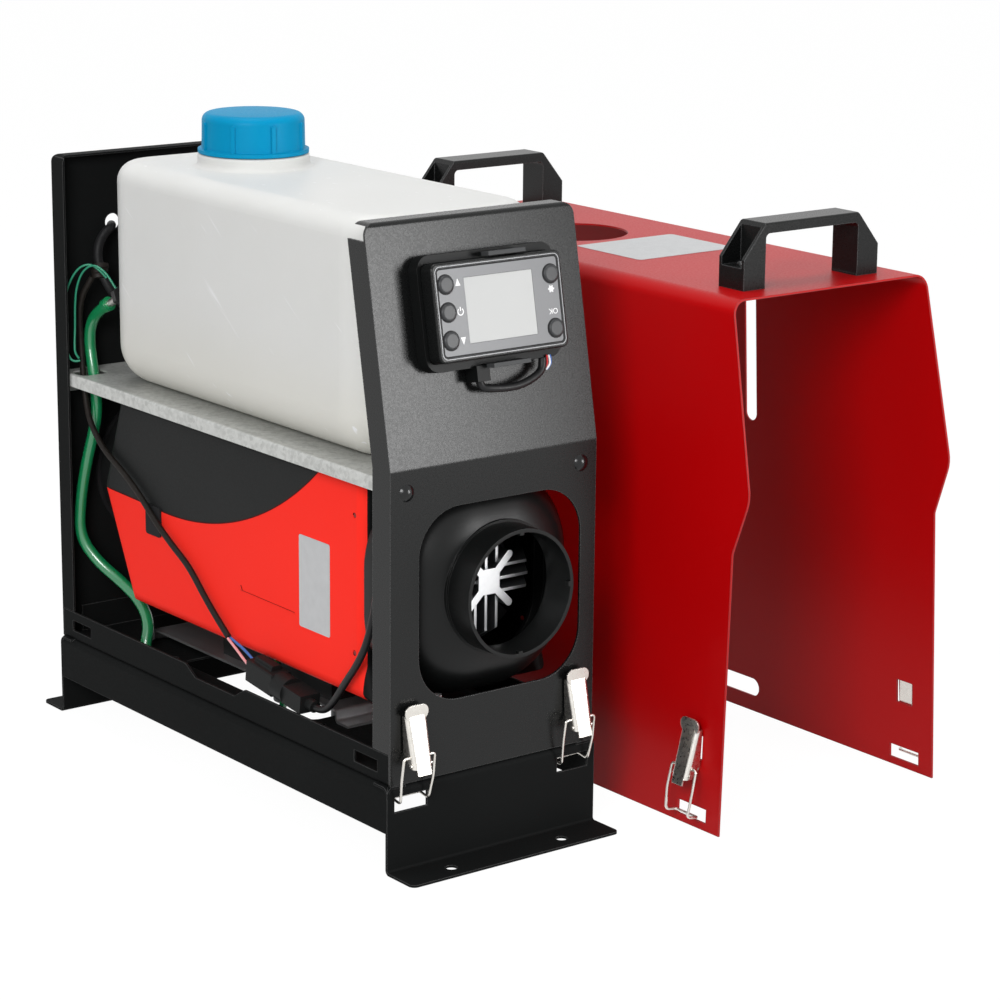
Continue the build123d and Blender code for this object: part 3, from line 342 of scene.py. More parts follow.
material, tree, shader = new_finish("blue_polypropylene", Subsurface_Weight=0.1,
                                    Subsurface_Scale=0.002, Specular_IOR_Level=0.08)
place = on_object(tree)
wire(tree, tint(tree, noise(tree, place, 30, 2), "0083ae", "0089b5"), shader, "Base Color")
grain = noise(tree, place, 900, 2)
wire(tree, ramp(tree, grain, 0.3, 0.7, 0.4, 0.5), shader, "Roughness")
wire(tree, relief(tree, grain, 0.00003, 0.4, rounded(tree, 0.0008)), shader, "Normal")
dress(material, "tank_cap")

material, tree, shader = new_finish("black_rubber", Roughness=0.7, Specular_IOR_Level=0.1)
place = on_object(tree)
wire(tree, tint(tree, noise(tree, place, 60, 2), "1b1b1c", "29292a"), shader, "Base Color")
wire(tree, relief(tree, noise(tree, place, 1500, 2), 0.00005, 0.5), shader, "Normal")
rubber = material
dress(rubber, "cap_seal", "rubber_clips")


# ---- Heater unit: shells, cowl and inlet --------------------------------------------------------
# Two moulded shells with a spark-eroded matt face, orange-red below and black above, a black nose
# that carries the duct, and a finger guard at the back.  The red shell's inner faces and the rim that
# the nose grips are painted near-black as shade.
def moulded(name, deep, pale, rough, shine=0.35, grain_depth=0.00008, bevel=0.0006, per_metre=1400):
    """Moulded plastic with a fine eroded grain, 0.7 mm across, and softened edges."""
    material, tree, shader = new_finish(name, Specular_IOR_Level=shine)
    place = on_object(tree)
    wire(tree, tint(tree, noise(tree, place, 12, 2), deep, pale), shader, "Base Color")
    grain = noise(tree, place, per_metre, 2)
    wire(tree, ramp(tree, grain, 0.3, 0.7, rough - 0.05, rough + 0.05), shader, "Roughness")
    wire(tree, relief(tree, grain, grain_depth, 0.5, rounded(tree, bevel)), shader, "Normal")
    return material


red_abs = moulded("orange_red_abs", "fb2c20", "ff3226", 0.5, 0.08)
black_abs = moulded("black_abs", "191a1a", "1f2020", 0.5, 0.09)
nose_black = moulded("black_nose", "0a0b0b", "0e0f0f", 0.38, 0.24, 0.00003)
dress(red_abs, "heater_lower_shell")
RIM_Y = -0.1395
SHELL_MIDDLE = (0.004, 0, 0.157)
tree = red_abs.node_tree
shader = tree.nodes["Principled BSDF"]
along = add(tree, "ShaderNodeSeparateXYZ", {"Vector": on_object(tree)}).outputs["Y"]
behind_rim = add(tree, "ShaderNodeMath", {0: along, 1: RIM_Y}, operation="GREATER_THAN").outputs[0]
from_middle = add(tree, "ShaderNodeVectorMath", {0: on_object(tree, (1, 0, 1)), 1: SHELL_MIDDLE},
                  operation="SUBTRACT").outputs[0]
facing = add(tree, "ShaderNodeNewGeometry").outputs["Normal"]
outwards = add(tree, "ShaderNodeVectorMath", {0: from_middle, 1: facing},
               operation="DOT_PRODUCT").outputs["Value"]
outer_face = add(tree, "ShaderNodeMath", {0: outwards, 1: 0.0}, operation="GREATER_THAN").outputs[0]
in_red = add(tree, "ShaderNodeMath", {0: behind_rim, 1: outer_face}, operation="MULTIPLY").outputs[0]
plain_red = shader.inputs["Base Color"].links[0].from_socket
# Painted shade: inner faces and the part in front of RIM_Y get near-black 0e0f0f instead of red.
wire(tree, laid_over(tree, in_red, linear("0e0f0f"), plain_red), shader, "Base Color")
dress(black_abs, "heater_upper_shell", "inlet_guard", "hot_air_fan", "harness_connector")
dress(nose_black, "outlet_cowl")


# ---- Shell screws -------------------------------------------------------------------------------
# Small cross-head steel screws sunk in the four holes of the red shell, coloured a dark red that is
# painted shade of the holes.  The head is domed and the cross is pressed in.
def set_piece(name, bm, material, body, crease=35):
    """Finishes a bmesh as a piece that rides on a body, shaded smooth up to an angle."""
    bmesh.ops.remove_doubles(bm, verts=bm.verts[:], dist=1e-6)
    bmesh.ops.recalc_face_normals(bm, faces=bm.faces[:])
    mesh = bpy.data.meshes.new(name)
    bm.to_mesh(mesh)
    bm.free()
    mesh.polygons.foreach_set("use_smooth", [True] * len(mesh.polygons))
    mesh.set_sharp_from_angle(angle=radians(crease))
    mesh.materials.append(material)
    piece = bpy.data.objects.new(name, mesh)
    scene.collection.objects.link(piece)
    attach(piece, body)
    return piece


def aim(place, direction):
    """A frame at a place in millimetres, its Z along a direction."""
    turn = Vector(direction).to_track_quat("Z", "Y")
    return Matrix.Translation([c / 1000 for c in place]) @ turn.to_matrix().to_4x4()


def round_off(bm, geom, offset, segments, affect="EDGES"):
    """Rounds edges or corners by an offset in metres."""
    bmesh.ops.bevel(bm, geom=geom, offset=offset, offset_type="OFFSET", segments=segments,
                    profile=0.5, affect=affect, material=-1)


def pan_head(bm, place, radius, height):
    """A domed screw head with a pressed cross, added to a bmesh."""
    head = bmesh.ops.create_cone(bm, cap_ends=True, segments=28, radius1=radius, radius2=radius,
                                 depth=height, matrix=place @ Matrix.Translation((0, 0, height / 2)))
    out = place.to_3x3() @ Vector((0, 0, 1))
    top = [v for v in head["verts"] if (v.co - place.translation).dot(out) > height * 0.9]
    round_off(bm, list({e for v in top for e in v.link_edges if e.other_vert(v) in top}),
              height * 0.7, 5)
    for turn in (0, pi / 2):
        arm = place @ Matrix.Rotation(turn, 4, "Z") @ Matrix.Translation((0, 0, height))
        bmesh.ops.create_cube(bm, size=1, matrix=arm @ Matrix.Diagonal((radius * 1.1, radius * 0.22,
                                                                       height * 0.16, 1)))


SHELL_SCREW_X = 60.2
SHELL_SCREWS = ((-131.7, 197.5), (-131.5, 116.2))
# Painted shade: the screw heads take the darker red of the shaded holes.
shaded_red_screw = mottled("dark_red_screw_painted_shade", (400, 2), "7c120e", "8f1a14", Roughness=0.5)
for number, (y, z) in enumerate(SHELL_SCREWS, 1):
    for side, sign in (("left", -1), ("right", 1)):
        bm = bmesh.new()
        pan_head(bm, aim((sign * SHELL_SCREW_X, y, z), (sign, 0, 0)), 0.00145, 0.0006)
        set_piece(f"shell_screw_{side}_{number}", bm, shaded_red_screw, "frame")


# ---- Shell label plate and moulded line ---------------------------------------------------------
# A bare plate of brushed film, stuck on the left of the red shell, and the thin line that is
# moulded beside it, with a short tick at its end.
def rectangle(bm, width, height, place=Matrix.Identity(4)):
    """A flat rectangle on the XY plane of a place, in metres; returns its corners."""
    return bmesh.ops.create_grid(bm, x_segments=1, y_segments=1, size=0.5,
                                 matrix=place @ Matrix.Diagonal((width, height, 1, 1)))["verts"]


def raise_print(bm, flat, thick):
    """Gives flat faces a thickness and keeps their underside."""
    top = bmesh.ops.extrude_face_region(bm, geom=flat, use_keep_orig=True)
    lifted = [v for v in top["geom"] if isinstance(v, bmesh.types.BMVert)]
    bmesh.ops.translate(bm, verts=lifted, vec=(0, 0, thick))


def plate(bm, place, width, height, corner, thick, band=None):
    """A rounded rectangle, or a ring as wide as the band, raised by thick above a place."""
    round_off(bm, rectangle(bm, width, height), corner, 6, "VERTICES")
    bm.faces.ensure_lookup_table()
    flat = [bm.faces[-1]]
    if band:
        middle = flat
        flat = bmesh.ops.inset_region(bm, faces=middle, thickness=band, use_boundary=True,
                                      use_even_offset=True)["faces"]
        bmesh.ops.delete(bm, geom=middle, context="FACES")
    raise_print(bm, flat, thick)
    bmesh.ops.transform(bm, matrix=place, verts=bm.verts[:])


label_film = mottled("blank_label_film", (160, 3), "b4b5b6", "c2c3c4", (1200, 0.3, 0.42), 0.0003,
                     Specular_IOR_Level=0.2)
left_wall = Matrix(((0, 0, -1, -0.0610), (-1, 0, 0, -0.0912), (0, 1, 0, 0.1469), (0, 0, 0, 1)))
bm = bmesh.new()
plate(bm, left_wall, width=0.0315, height=0.0557, corner=0.0015, thick=0.00025)
set_piece("shell_label_plate", bm, label_film, "frame")

RIB_X, RIB_WIDTH = -0.0611, 0.0006
bm = bmesh.new()
for y, z, length, turn in ((-41.5, 125.6, 58.0, 0.4), (-13.4, 127.2, 4.0, 62)):
    rib = left_wall.copy()
    rib.translation = Vector((RIB_X, y / 1000, z / 1000))
    bmesh.ops.create_cube(bm, size=1, matrix=rib @ Matrix.Rotation(radians(-turn), 4, "Z")
                          @ Matrix.Diagonal((length / 1000, RIB_WIDTH, RIB_WIDTH, 1)))
set_piece("shell_line", bm, red_abs, "frame")


# ---- Shell seam and inlet seal ------------------------------------------------------------------
# The dark line where the two shells meet: an arc from the back to the top of the front.  A thin
# rubber ring closes the air inlet's collar against the rear panel.
def circle_through(first, second, third):
    """Middle of the circle through three points of a plane."""
    (ax, ay), (bx, by), (cx, cy) = first, second, third
    turn = 2 * (ax * (by - cy) + bx * (cy - ay) + cx * (ay - by))
    a2, b2, c2 = ax * ax + ay * ay, bx * bx + by * by, cx * cx + cy * cy
    return ((a2 * (by - cy) + b2 * (cy - ay) + c2 * (ay - by)) / turn,
            (a2 * (cx - bx) + b2 * (ax - cx) + c2 * (bx - ax)) / turn)


def ring(place, radius, wide, thick, steps):
    """A ring of rectangular section round the Z axis of a place, in metres."""
    bm = bmesh.new()
    rectangle(bm, wide, thick, place @ Matrix.Translation((radius, 0, 0))
              @ Matrix.Rotation(pi / 2, 4, "X"))
    bmesh.ops.delete(bm, geom=bm.faces[:], context="FACES_ONLY")
    bmesh.ops.spin(bm, geom=bm.edges[:] + bm.verts[:], cent=place.translation,
                   axis=place.to_3x3() @ Vector((0, 0, 1)), angle=2 * pi, steps=steps, use_merge=True)
    return bm


SEAM = ((90, 156.5), (-5.5, 166.7), (-104, 223))
SEAM_END = (-95.0, 216.5)
SEAM_X, SEAM_HALF_WIDTH, SEAM_STEPS = -61.15, 0.35, 48
BACK_EDGE_Y, BACK_EDGE_Z = 140.0, 157.7
seam_shade = mottled("seam_shade", (60, 2), "3a0d0b", "55120f", Roughness=0.7, Specular_IOR_Level=0.1)
seam_y, seam_z = circle_through(*SEAM)
seam_r = ((SEAM[0][0] - seam_y) ** 2 + (SEAM[0][1] - seam_z) ** 2) ** 0.5
start, stop = [atan2(z - seam_z, y - seam_y) for y, z in (SEAM[0], SEAM_END)]
spots = [[(BACK_EDGE_Y, BACK_EDGE_Z + shift) for shift in (SEAM_HALF_WIDTH, -SEAM_HALF_WIDTH)]]
for k in range(SEAM_STEPS + 1):
    turn = start + (stop - start) * k / SEAM_STEPS
    spots.append([(seam_y + r * cos(turn), seam_z + r * sin(turn))
                  for r in (seam_r - SEAM_HALF_WIDTH, seam_r + SEAM_HALF_WIDTH)])
bm = bmesh.new()
rows = [[bm.verts.new(Vector((SEAM_X, y, z)) / 1000) for y, z in pair] for pair in spots]
for (a, b), (c, d) in zip(rows, rows[1:]):
    bm.faces.new((a, b, d, c))
set_piece("shell_seam", bm, seam_shade, "frame")

inlet = Matrix.Translation((0.0037, 0.1805, 0.1574)) @ Matrix.Rotation(-pi / 2, 4, "X")
set_piece("inlet_seal", ring(inlet, radius=0.0492, wide=0.0022, thick=0.0016, steps=72), rubber,
          "frame")


# ---- Heater unit: metal inside ------------------------------------------------------------------
# Die-cast aluminium whose front edges are machined bright and whose depths are painted darker as
# shade, a steel flame tube and motor can, a green circuit board and a filter of white nylon.
material, tree, shader = new_finish("die_cast_aluminium", Metallic=1.0)
place = on_object(tree)
depth = add(tree, "ShaderNodeSeparateXYZ", {"Vector": place}).outputs["Y"]
cast = tint(tree, noise(tree, place, 150, 4), "77797b", "8f9193")
machined = tint(tree, noise(tree, place, 260, 2), "e9eaeb", "f7f7f8")
normal = add(tree, "ShaderNodeNewGeometry").outputs["Normal"]
facing = add(tree, "ShaderNodeSeparateXYZ", {"Vector": normal}).outputs["Y"]
front = ramp(tree, facing, -0.55, -0.9)
near = ramp(tree, depth, -0.150, -0.166)
bright = add(tree, "ShaderNodeMath", {0: front, 1: near}, operation="MULTIPLY").outputs[0]
# Painted shade: the cast metal darkens towards 3c3d3e further back inside the heater.
shaded = laid_over(tree, ramp(tree, depth, -0.168, -0.140), cast, linear("3c3d3e"))
wire(tree, laid_over(tree, bright, shaded, machined), shader, "Base Color")
wire(tree, ramp(tree, bright, 0, 1, 0.5, 0.3), shader, "Roughness")
wire(tree, relief(tree, noise(tree, place, 900, 3), 0.00008, 0.5, rounded(tree, 0.0004)), shader, "Normal")
dress(material, "heat_exchanger", "combustion_housing", "combustion_fan")
dress(steel, "burner_tube", "glow_plug", "fan_motor", "motor_shaft", "fuel_pump")

material, tree, shader = new_finish("green_resist", Roughness=0.35)
tracks = add(tree, "ShaderNodeTexVoronoi", {"Vector": on_object(tree), "Scale": 300.0},
             distance="CHEBYCHEV").outputs["Distance"]
wire(tree, tint(tree, ramp(tree, tracks, 0.25, 0.3), "2a7a48", "1a5532"), shader, "Base Color")
dress(material, "control_board")

dress(moulded("white_nylon", "dcdcd7", "e6e6e2", 0.42), "fuel_filter")


# ---- Control unit -------------------------------------------------------------------------------
# A black box clipped into a cradle whose sprung ends grip it, with a satin grey face, a grey
# display behind clear plastic and five domed keys.
PANEL_FOOT = (0, -0.183, 0.234)
slant = atan2(25.3, 134)
panel_place = Matrix(((1, 0, 0, PANEL_FOOT[0]), (0, sin(slant), -cos(slant), PANEL_FOOT[1]),
                      (0, cos(slant), sin(slant), PANEL_FOOT[2]), (0, 0, 0, 1)))


def on_control(x, y, z):
    """Frame at a spot of the control unit, in millimetres from its centre and off the panel."""
    return panel_place @ Matrix.Translation(((1 + x) / 1000, (83.5 + y) / 1000, z / 1000))


case_black = moulded("case_black", "0e0f0f", "131414", 0.3, 0.22, 0.00004)
tree = case_black.node_tree
shader = tree.nodes["Principled BSDF"]
plain_black = shader.inputs["Base Color"].links[0].from_socket
# Painted highlight: the case's edges are lightened towards grey 6a6b6c.
wire(tree, painted_edge_highlight(tree, plain_black, "6a6b6c", 0.0008), shader, "Base Color")
dress(case_black, "controller_case", "front_handle", "rear_handle")

material, tree, shader = new_finish("cradle_with_sprung_ends", Specular_IOR_Level=0.12, Roughness=0.38)
place = on_object(tree)
apart = add(tree, "ShaderNodeVectorMath", {0: place, 1: PANEL_FOOT}, operation="SUBTRACT")
off_panel = add(tree, "ShaderNodeVectorMath", {0: apart.outputs[0], 1: (0, -cos(slant), sin(slant))},
                operation="DOT_PRODUCT").outputs["Value"]
spring_tab = ramp(tree, off_panel, 0.0111, 0.0114)
wire(tree, tint(tree, spring_tab, "101111", "3c3d3e"), shader, "Base Color")
wire(tree, rounded(tree, 0.0004), shader, "Normal")
dress(material, "controller_bracket")

material, tree, shader = new_finish("satin_grey_face", Specular_IOR_Level=0.3)
place = on_object(tree)
wire(tree, tint(tree, noise(tree, place, 25, 2), "6f7072", "767779"), shader, "Base Color")
grain = noise(tree, place, 1800, 2)
wire(tree, ramp(tree, grain, 0.3, 0.7, 0.28, 0.36), shader, "Roughness")
wire(tree, relief(tree, grain, 0.00002, 0.4, rounded(tree, 0.0003)), shader, "Normal")
dress(material, "controller_face")

dress(mottled("display_window", (18, 2), "babbba", "c0c1c0", Roughness=0.5, Specular_IOR_Level=0.1),
      "controller_screen")
dress(mottled("key_plastic", (40, 2), "2b2c2d", "38393b", soften=0.0008, Specular_IOR_Level=0.3,
              Roughness=0.34), "button_up", "button_power", "button_down", "button_settings", "button_ok")


# ---- Control unit: lines and printed symbols ----------------------------------------------------
# A thin bead painted pale as a highlight and a dark groove round the face, a black ring round each
# key, and generic white symbols: up, power, down, a cog for settings and OK.
# Painted highlight: the bead round the face is pale grey, standing for light on the case's bevel.
painted_bead_highlight = mottled("painted_bead_highlight", (200, 2), "8c8d8f", "9b9c9e", Roughness=0.35)
dark_line = mottled("dark_line", (200, 2), "0d0d0e", "151516", Roughness=0.5, Specular_IOR_Level=0.2)
white_print = mottled("white_print", (500, 2), "e2e2e2", "f2f2f2", Roughness=0.5,
                      Specular_IOR_Level=0.2)

FACE_Z = 17.88
bm = bmesh.new()
plate(bm, on_control(0, 0, 17.6), width=0.0864, height=0.0514, corner=0.0036, thick=0.0007, band=0.00045)
set_piece("face_bead", bm, painted_bead_highlight, "frame")
bm = bmesh.new()
plate(bm, on_control(0, 0, FACE_Z), width=0.0844, height=0.0494, corner=0.0026, thick=0.00006,
      band=0.0009)
set_piece("face_groove", bm, dark_line, "frame")

KEYS = {"up": (-36.4, 15.6), "power": (-36.4, 0.3), "down": (-36.4, -15.3),
        "settings": (36.5, 14.4), "ok": (36.5, -16.2)}
for key, (x, y) in KEYS.items():
    well = ring(on_control(x, y, FACE_Z + 0.1), radius=0.0053, wide=0.0008, thick=0.0002, steps=40)
    set_piece(f"key_well_{key}", well, dark_line, "frame")


def printed(name, bm, place):
    """Prints a flat shape, drawn on XY in metres, at a place."""
    raise_print(bm, bm.faces[:], 0.00006)
    bmesh.ops.transform(bm, matrix=place, verts=bm.verts[:])
    set_piece(name, bm, white_print, "frame")


LEFT_PRINT_X, RIGHT_PRINT_X = -28.0, 36.1
for name, y, turn in (("print_up", 15.5, 0), ("print_down", -15.6, -pi)):
    bm = bmesh.new()
    bmesh.ops.create_circle(bm, cap_ends=True, segments=3, radius=0.0021,
                            matrix=Matrix.Diagonal((0.95, 1.3, 1, 1)) @ Matrix.Rotation(turn, 4, "Z"))
    printed(name, bm, on_control(LEFT_PRINT_X, y, FACE_Z))

POWER_RADIUS, POWER_LINE = 0.0019, 0.0006
bm = bmesh.new()
rectangle(bm, POWER_LINE, 1e-7, Matrix.Rotation(radians(128), 4, "Z")
          @ Matrix.Translation((POWER_RADIUS, 0, 0)))
bmesh.ops.delete(bm, geom=bm.faces[:], context="FACES_ONLY")
side = [e for e in bm.edges if e.calc_length() > POWER_LINE / 2][:1]
bmesh.ops.spin(bm, geom=side, cent=(0, 0, 0), axis=(0, 0, 1), angle=radians(284), steps=28)
rectangle(bm, POWER_LINE, 0.0022, Matrix.Translation((0, 0.0015, 0)))
bmesh.ops.delete(bm, geom=[v for v in bm.verts if not v.link_faces], context="VERTS")
printed("print_power", bm, on_control(LEFT_PRINT_X, -0.1, FACE_Z))

COG_RADIUS, COG_TOOTH, COG_TEETH = 0.0016, 0.0009, 6
bm = bmesh.new()
bmesh.ops.create_circle(bm, cap_ends=True, segments=24, radius=COG_RADIUS)
for k in range(COG_TEETH):
    rectangle(bm, COG_TOOTH, COG_TOOTH, Matrix.Rotation(k * 2 * pi / COG_TEETH, 4, "Z")
              @ Matrix.Translation((COG_RADIUS + 0.0001, 0, 0)))
printed("print_cog", bm, on_control(RIGHT_PRINT_X, 5.9, FACE_Z))

words = bpy.data.curves.new("print_ok", "FONT")
words.body = "OK"
words.size = 0.0044
words.align_x = "CENTER"
words.align_y = "CENTER"
words.extrude = 0.00004
letters = bpy.data.objects.new("print_ok_outline", words)
scene.collection.objects.link(letters)
bpy.context.view_layer.update()
flat = bpy.data.meshes.new_from_object(letters)
bpy.data.objects.remove(letters)
bm = bmesh.new()
bm.from_mesh(flat)
place = on_control(RIGHT_PRINT_X, -6.5, FACE_Z + 0.06) @ Matrix.Rotation(pi, 4, "Z")
bmesh.ops.transform(bm, matrix=place, verts=bm.verts[:])
set_piece("print_ok", bm, white_print, "frame")


# ---- Toggle latches -----------------------------------------------------------------------------
# Pressed steel, bright nickel plated, with wire hooks; a small brass-coloured spring is wound on
# each lever's pin, between the plate's ears and the lever.
nickel = mottled("bright_nickel", (120, 2), "d3cfc8", "e6e3dd", (500, 0.26, 0.33), 0.0004, Metallic=1.0)
dress(nickel, *[name for name in nodes if "_lever_" in name or "_hook_" in name or "_latch_plates" in name])
bronze = mottled("phosphor_bronze", (300, 2), "9a7a4e", "b8935e", (900, 0.26, 0.36), Metallic=1.0)


def wall_frame(origin, outward):
    """Frame on a wall in millimetres: X along it, Y up it, Z out of it."""
    out = Vector(outward).normalized()
    along = Vector((0, 0, 1)).cross(out).normalized()
    turn = Matrix((along, out.cross(along), out)).transposed()
    return Matrix.Translation([c / 1000 for c in origin]) @ turn.to_4x4()


COVER_X, COVER_TOP, COVER_HALF_TOP = 202.8, 317.0, 76.6
LATCH_FOOT_Z = 9.0
latch_walls = {("frame", side): wall_frame((x, -183.0, 41.0), (0, -1, 0))
               for side, x in (("left", -57.9), ("right", 57.9))}
for side, sign, splay in (("left", -1, 8.4), ("right", 1, 15.4)):
    lean = atan2(splay, COVER_TOP)
    foot = COVER_X + sign * (COVER_HALF_TOP + splay)
    for end, y in (("front", -222.6), ("rear", 95.0)):
        spot = (foot - sign * LATCH_FOOT_Z * sin(lean) / cos(lean), y, LATCH_FOOT_Z)
        latch_walls["cover", f"{side}_{end}"] = wall_frame(spot, (sign * cos(lean), 0, sin(lean)))

SPRING_RADIUS, SPRING_WIRE = 0.00165, 0.00034
COILS, COIL_PITCH, COIL_STEPS = 3, 0.0008, 18
for (body, spot), wall in latch_walls.items():
    bm = bmesh.new()
    for first in (-3.5, 1.1):
        end = bmesh.ops.create_circle(bm, segments=8, radius=SPRING_WIRE,
                                      matrix=Matrix.Translation((first / 1000, SPRING_RADIUS, 0)))
        bmesh.ops.spin(bm, geom=end["verts"] + list({e for v in end["verts"] for e in v.link_edges}),
                       cent=(0, 0, 0), axis=(1, 0, 0), dvec=(COIL_PITCH / COIL_STEPS, 0, 0),
                       angle=2 * pi * COILS, steps=COILS * COIL_STEPS)
    bmesh.ops.holes_fill(bm, edges=[e for e in bm.edges if e.is_boundary], sides=8)
    bmesh.ops.transform(bm, matrix=wall @ Matrix.Translation((0, 0.0245, 0.009)), verts=bm.verts[:])
    set_piece(f"latch_spring_{body}_{spot}", bm, bronze, body)


# ---- Cover --------------------------------------------------------------------------------------
# One steel sheet, folded twice, with punched slots and windows, powder coated in a satin red.  A
# bare plate of film lies on its top, and cross-head screws hold the feet of the two handles.
red_coat = coated_steel("red_powder_coat", "a80003", "b20004", 0.34, 0.42, 0.15, 0.00003)
dress(red_coat, "cover_shell")

bm = bmesh.new()
plate(bm, aim((206.5, -75.0, COVER_TOP), (0, 0, 1)), width=0.078, height=0.062, corner=0.0030,
      thick=0.00025)
set_piece("cover_label_plate", bm, label_film, "cover")

HANDLE_SCREW_OFFSET, HANDLE_POCKET_Z = 44.5, 330.0
for end, y in (("front", -208.8), ("rear", 91.0)):
    for side, sign in (("left", -1), ("right", 1)):
        bm = bmesh.new()
        pan_head(bm, aim((COVER_X + sign * HANDLE_SCREW_OFFSET, y, HANDLE_POCKET_Z), (0, 0, 1)),
                 0.0042, 0.0028)
        set_piece(f"handle_screw_{end}_{side}", bm, black_zinc, "cover")


# ---- Hoses and wires ----------------------------------------------------------------------------
# Soft green fuel hose with a wider end sleeve, two thin green lines, black sleeves and a few thin
# coloured wires, each of which lies on the route of its CAD tube.
def cord_line(name, body, route, radius, material, slot, node=None, **facts):
    """A smooth round cord through a route in millimetres."""
    curve = bpy.data.curves.new(name, "CURVE")
    curve.dimensions = "3D"
    spline = curve.splines.new("NURBS")
    spline.points.add(len(route) - 1)
    for point, (x, y, z) in zip(spline.points, route):
        point.co = (x / 1000, y / 1000, z / 1000, 1)
    spline.order_u = 3
    spline.use_endpoint_u = True
    curve.resolution_u = 10
    curve.bevel_depth = radius / 1000
    curve.bevel_resolution = 6
    curve.use_fill_caps = True
    curve.materials.append(material)
    cord = bpy.data.objects.new(name, curve)
    scene.collection.objects.link(cord)
    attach(cord, body)
    if node:
        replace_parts(cord, node)


green_pvc = mottled("green_hose", (60, 2), "0f7a48", "1a8c56", Roughness=0.25, IOR=1.52,
                    Subsurface_Weight=0.2, Subsurface_Scale=0.003, Coat_Weight=1.0, Coat_Roughness=0.06)
dress(green_pvc, "hose_clamps")
green_line = mottled("green_line", (90, 2), "157a5c", "1f8a68", Roughness=0.3, Subsurface_Weight=0.1,
                     Subsurface_Scale=0.001)
material, tree, shader = new_finish("black_sleeve", Specular_IOR_Level=0.15)
place = on_object(tree)
knobs = noise(tree, place, 420, 3)
wire(tree, tint(tree, knobs, "141210", "25201d"), shader, "Base Color")
wire(tree, ramp(tree, knobs, 0.3, 0.7, 0.42, 0.58), shader, "Roughness")
wire(tree, relief(tree, knobs, 0.0005, 0.6), shader, "Normal")
woven_sleeve = material
cable_black = moulded("cable_black", "131314", "19191a", 0.42, 0.25, 0.00005, 0.0002, 900)
conduit_black = moulded("conduit_black", "171718", "1f1f20", 0.5, 0.15, 0.00006, 0.0002, 700)

PUMP_X, PUMP_Z = -47.0, 37.5
HOSE_ROUTE = [(-50.8, 151.8, 274.1), (-51.6, 165.5, 267.0), (-52.4, 173.5, 258.0), (-52.8, 175.4, 246.0),
              (-53.4, 171.0, 231.0), (-53.4, 167.0, 214.0), (-54.0, 166.0, 199.0), (-56.0, 169.0, 184.0),
              (-59.6, 172.5, 164.0), (-62.8, 174.5, 141.0), (-64.8, 173.0, 120.0), (-58.0, 163.0, 104.0),
              (-49.0, 147.0, 92.0), (-45.0, 131.0, 82.0), (-46.0, 119.0, 70.0), (-53.2, 114.3, 55.5),
              (-51.2, 110.0, 45.0), (-47.6, 101.0, 38.2), (PUMP_X, 90.4, PUMP_Z)]
DELIVERY_ROUTE = [(PUMP_X, -2.3, PUMP_Z), (-46.5, -13.5, 38.0), (-43.0, -24.0, 44.0), (-40.3, -28.0, 55.5),
                  (-40.6, -24.0, 67.0), (-40.2, -15.5, 74.5), (-34.2, -11.4, 75.9)]
THIN_ROUTES = [
    [(-46.2, 147.0, 279.0), (-48.5, 152.0, 286.5), (-51.2, 156.5, 293.5), (-56.0, 163.0, 298.0),
     (-60.6, 168.5, 293.0), (-63.4, 171.5, 283.0), (-64.6, 172.0, 271.0), (-65.4, 171.0, 257.0),
     (-67.0, 169.5, 246.0), (-67.4, 168.4, 240.5), (-65.2, 167.4, 237.6)],
    [(-49.0, 158.5, 288.8), (-54.0, 163.5, 297.2), (-60.6, 169.5, 296.8), (-66.0, 173.0, 289.0),
     (-69.3, 176.0, 277.0), (-70.0, 177.0, 262.0), (-70.2, 175.5, 249.0), (-70.2, 172.5, 239.5),
     (-68.8, 168.5, 235.2), (-65.4, 165.8, 236.4)]]
cord_line("supply_hose", "frame", HOSE_ROUTE, 3.75, green_pvc, "green_hose", "fuel_lines",
          length=0.292, stiffness="medium", lay="hanging")
cord_line("delivery_hose", "frame", DELIVERY_ROUTE, 2.4, green_pvc, "green_hose", "fuel_lines",
          length=0.065, stiffness="medium", lay="loose")
for letter, route, length in zip("ab", THIN_ROUTES, (0.092, 0.090)):
    cord_line(f"thin_line_{letter}", "frame", route, 0.7, green_line, "green_hose", "fuel_lines",
              length=length, stiffness="limp", lay="loose")

bm = bmesh.new()
bmesh.ops.create_cone(bm, cap_ends=True, segments=32, radius1=0.00375, radius2=0.00375, depth=0.005,
                      matrix=aim((PUMP_X, 56.5, PUMP_Z), (0, -1, 0)))
ends = [e for e in bm.edges if len([f for f in e.link_faces if len(f.verts) > 4]) == 1]
round_off(bm, ends, 0.0004, 3)
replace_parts(set_piece("pump_link", bm, green_pvc, "frame"), "fuel_lines")

LOOM_X = -64.2
LOOM_ROUTE = [(-53.8, 168.0, 288.6), (-56.0, 170.0, 283.8), (-58.4, 173.5, 276.0), (-59.1, 175.8, 266.0),
              (-58.8, 176.3, 255.0), (-58.9, 175.3, 244.0), (-60.0, 172.4, 232.5), (-61.0, 169.3, 221.5),
              (-62.4, 164.5, 208.0), (LOOM_X, 156.5, 197.0), (LOOM_X, 141.0, 183.0), (LOOM_X, 118.0, 173.5),
              (LOOM_X, 97.0, 162.0), (LOOM_X, 81.0, 150.0), (LOOM_X, 61.0, 138.5), (LOOM_X, 41.0, 129.0),
              (LOOM_X, 25.0, 115.0), (LOOM_X, 10.0, 103.5), (LOOM_X, -3.0, 94.7)]
cord_line("loom_sleeve", "frame", LOOM_ROUTE, 1.9, woven_sleeve, "cable_black", "wire_harness",
          length=0.288, stiffness="medium", lay="loose")
pink_wire = moulded("pink_wire", "d98f93", "e6a6a8", 0.35, 0.4, 0.00002, 0.0002)
blue_wire = moulded("blue_wire", "2f5fa8", "3f72bd", 0.35, 0.4, 0.00002, 0.0002)
white_wire = moulded("white_wire", "dedede", "ececec", 0.35, 0.4, 0.00002, 0.0002)
red_wire = moulded("red_wire", "c01c22", "d0262c", 0.35, 0.4, 0.00002, 0.0002)
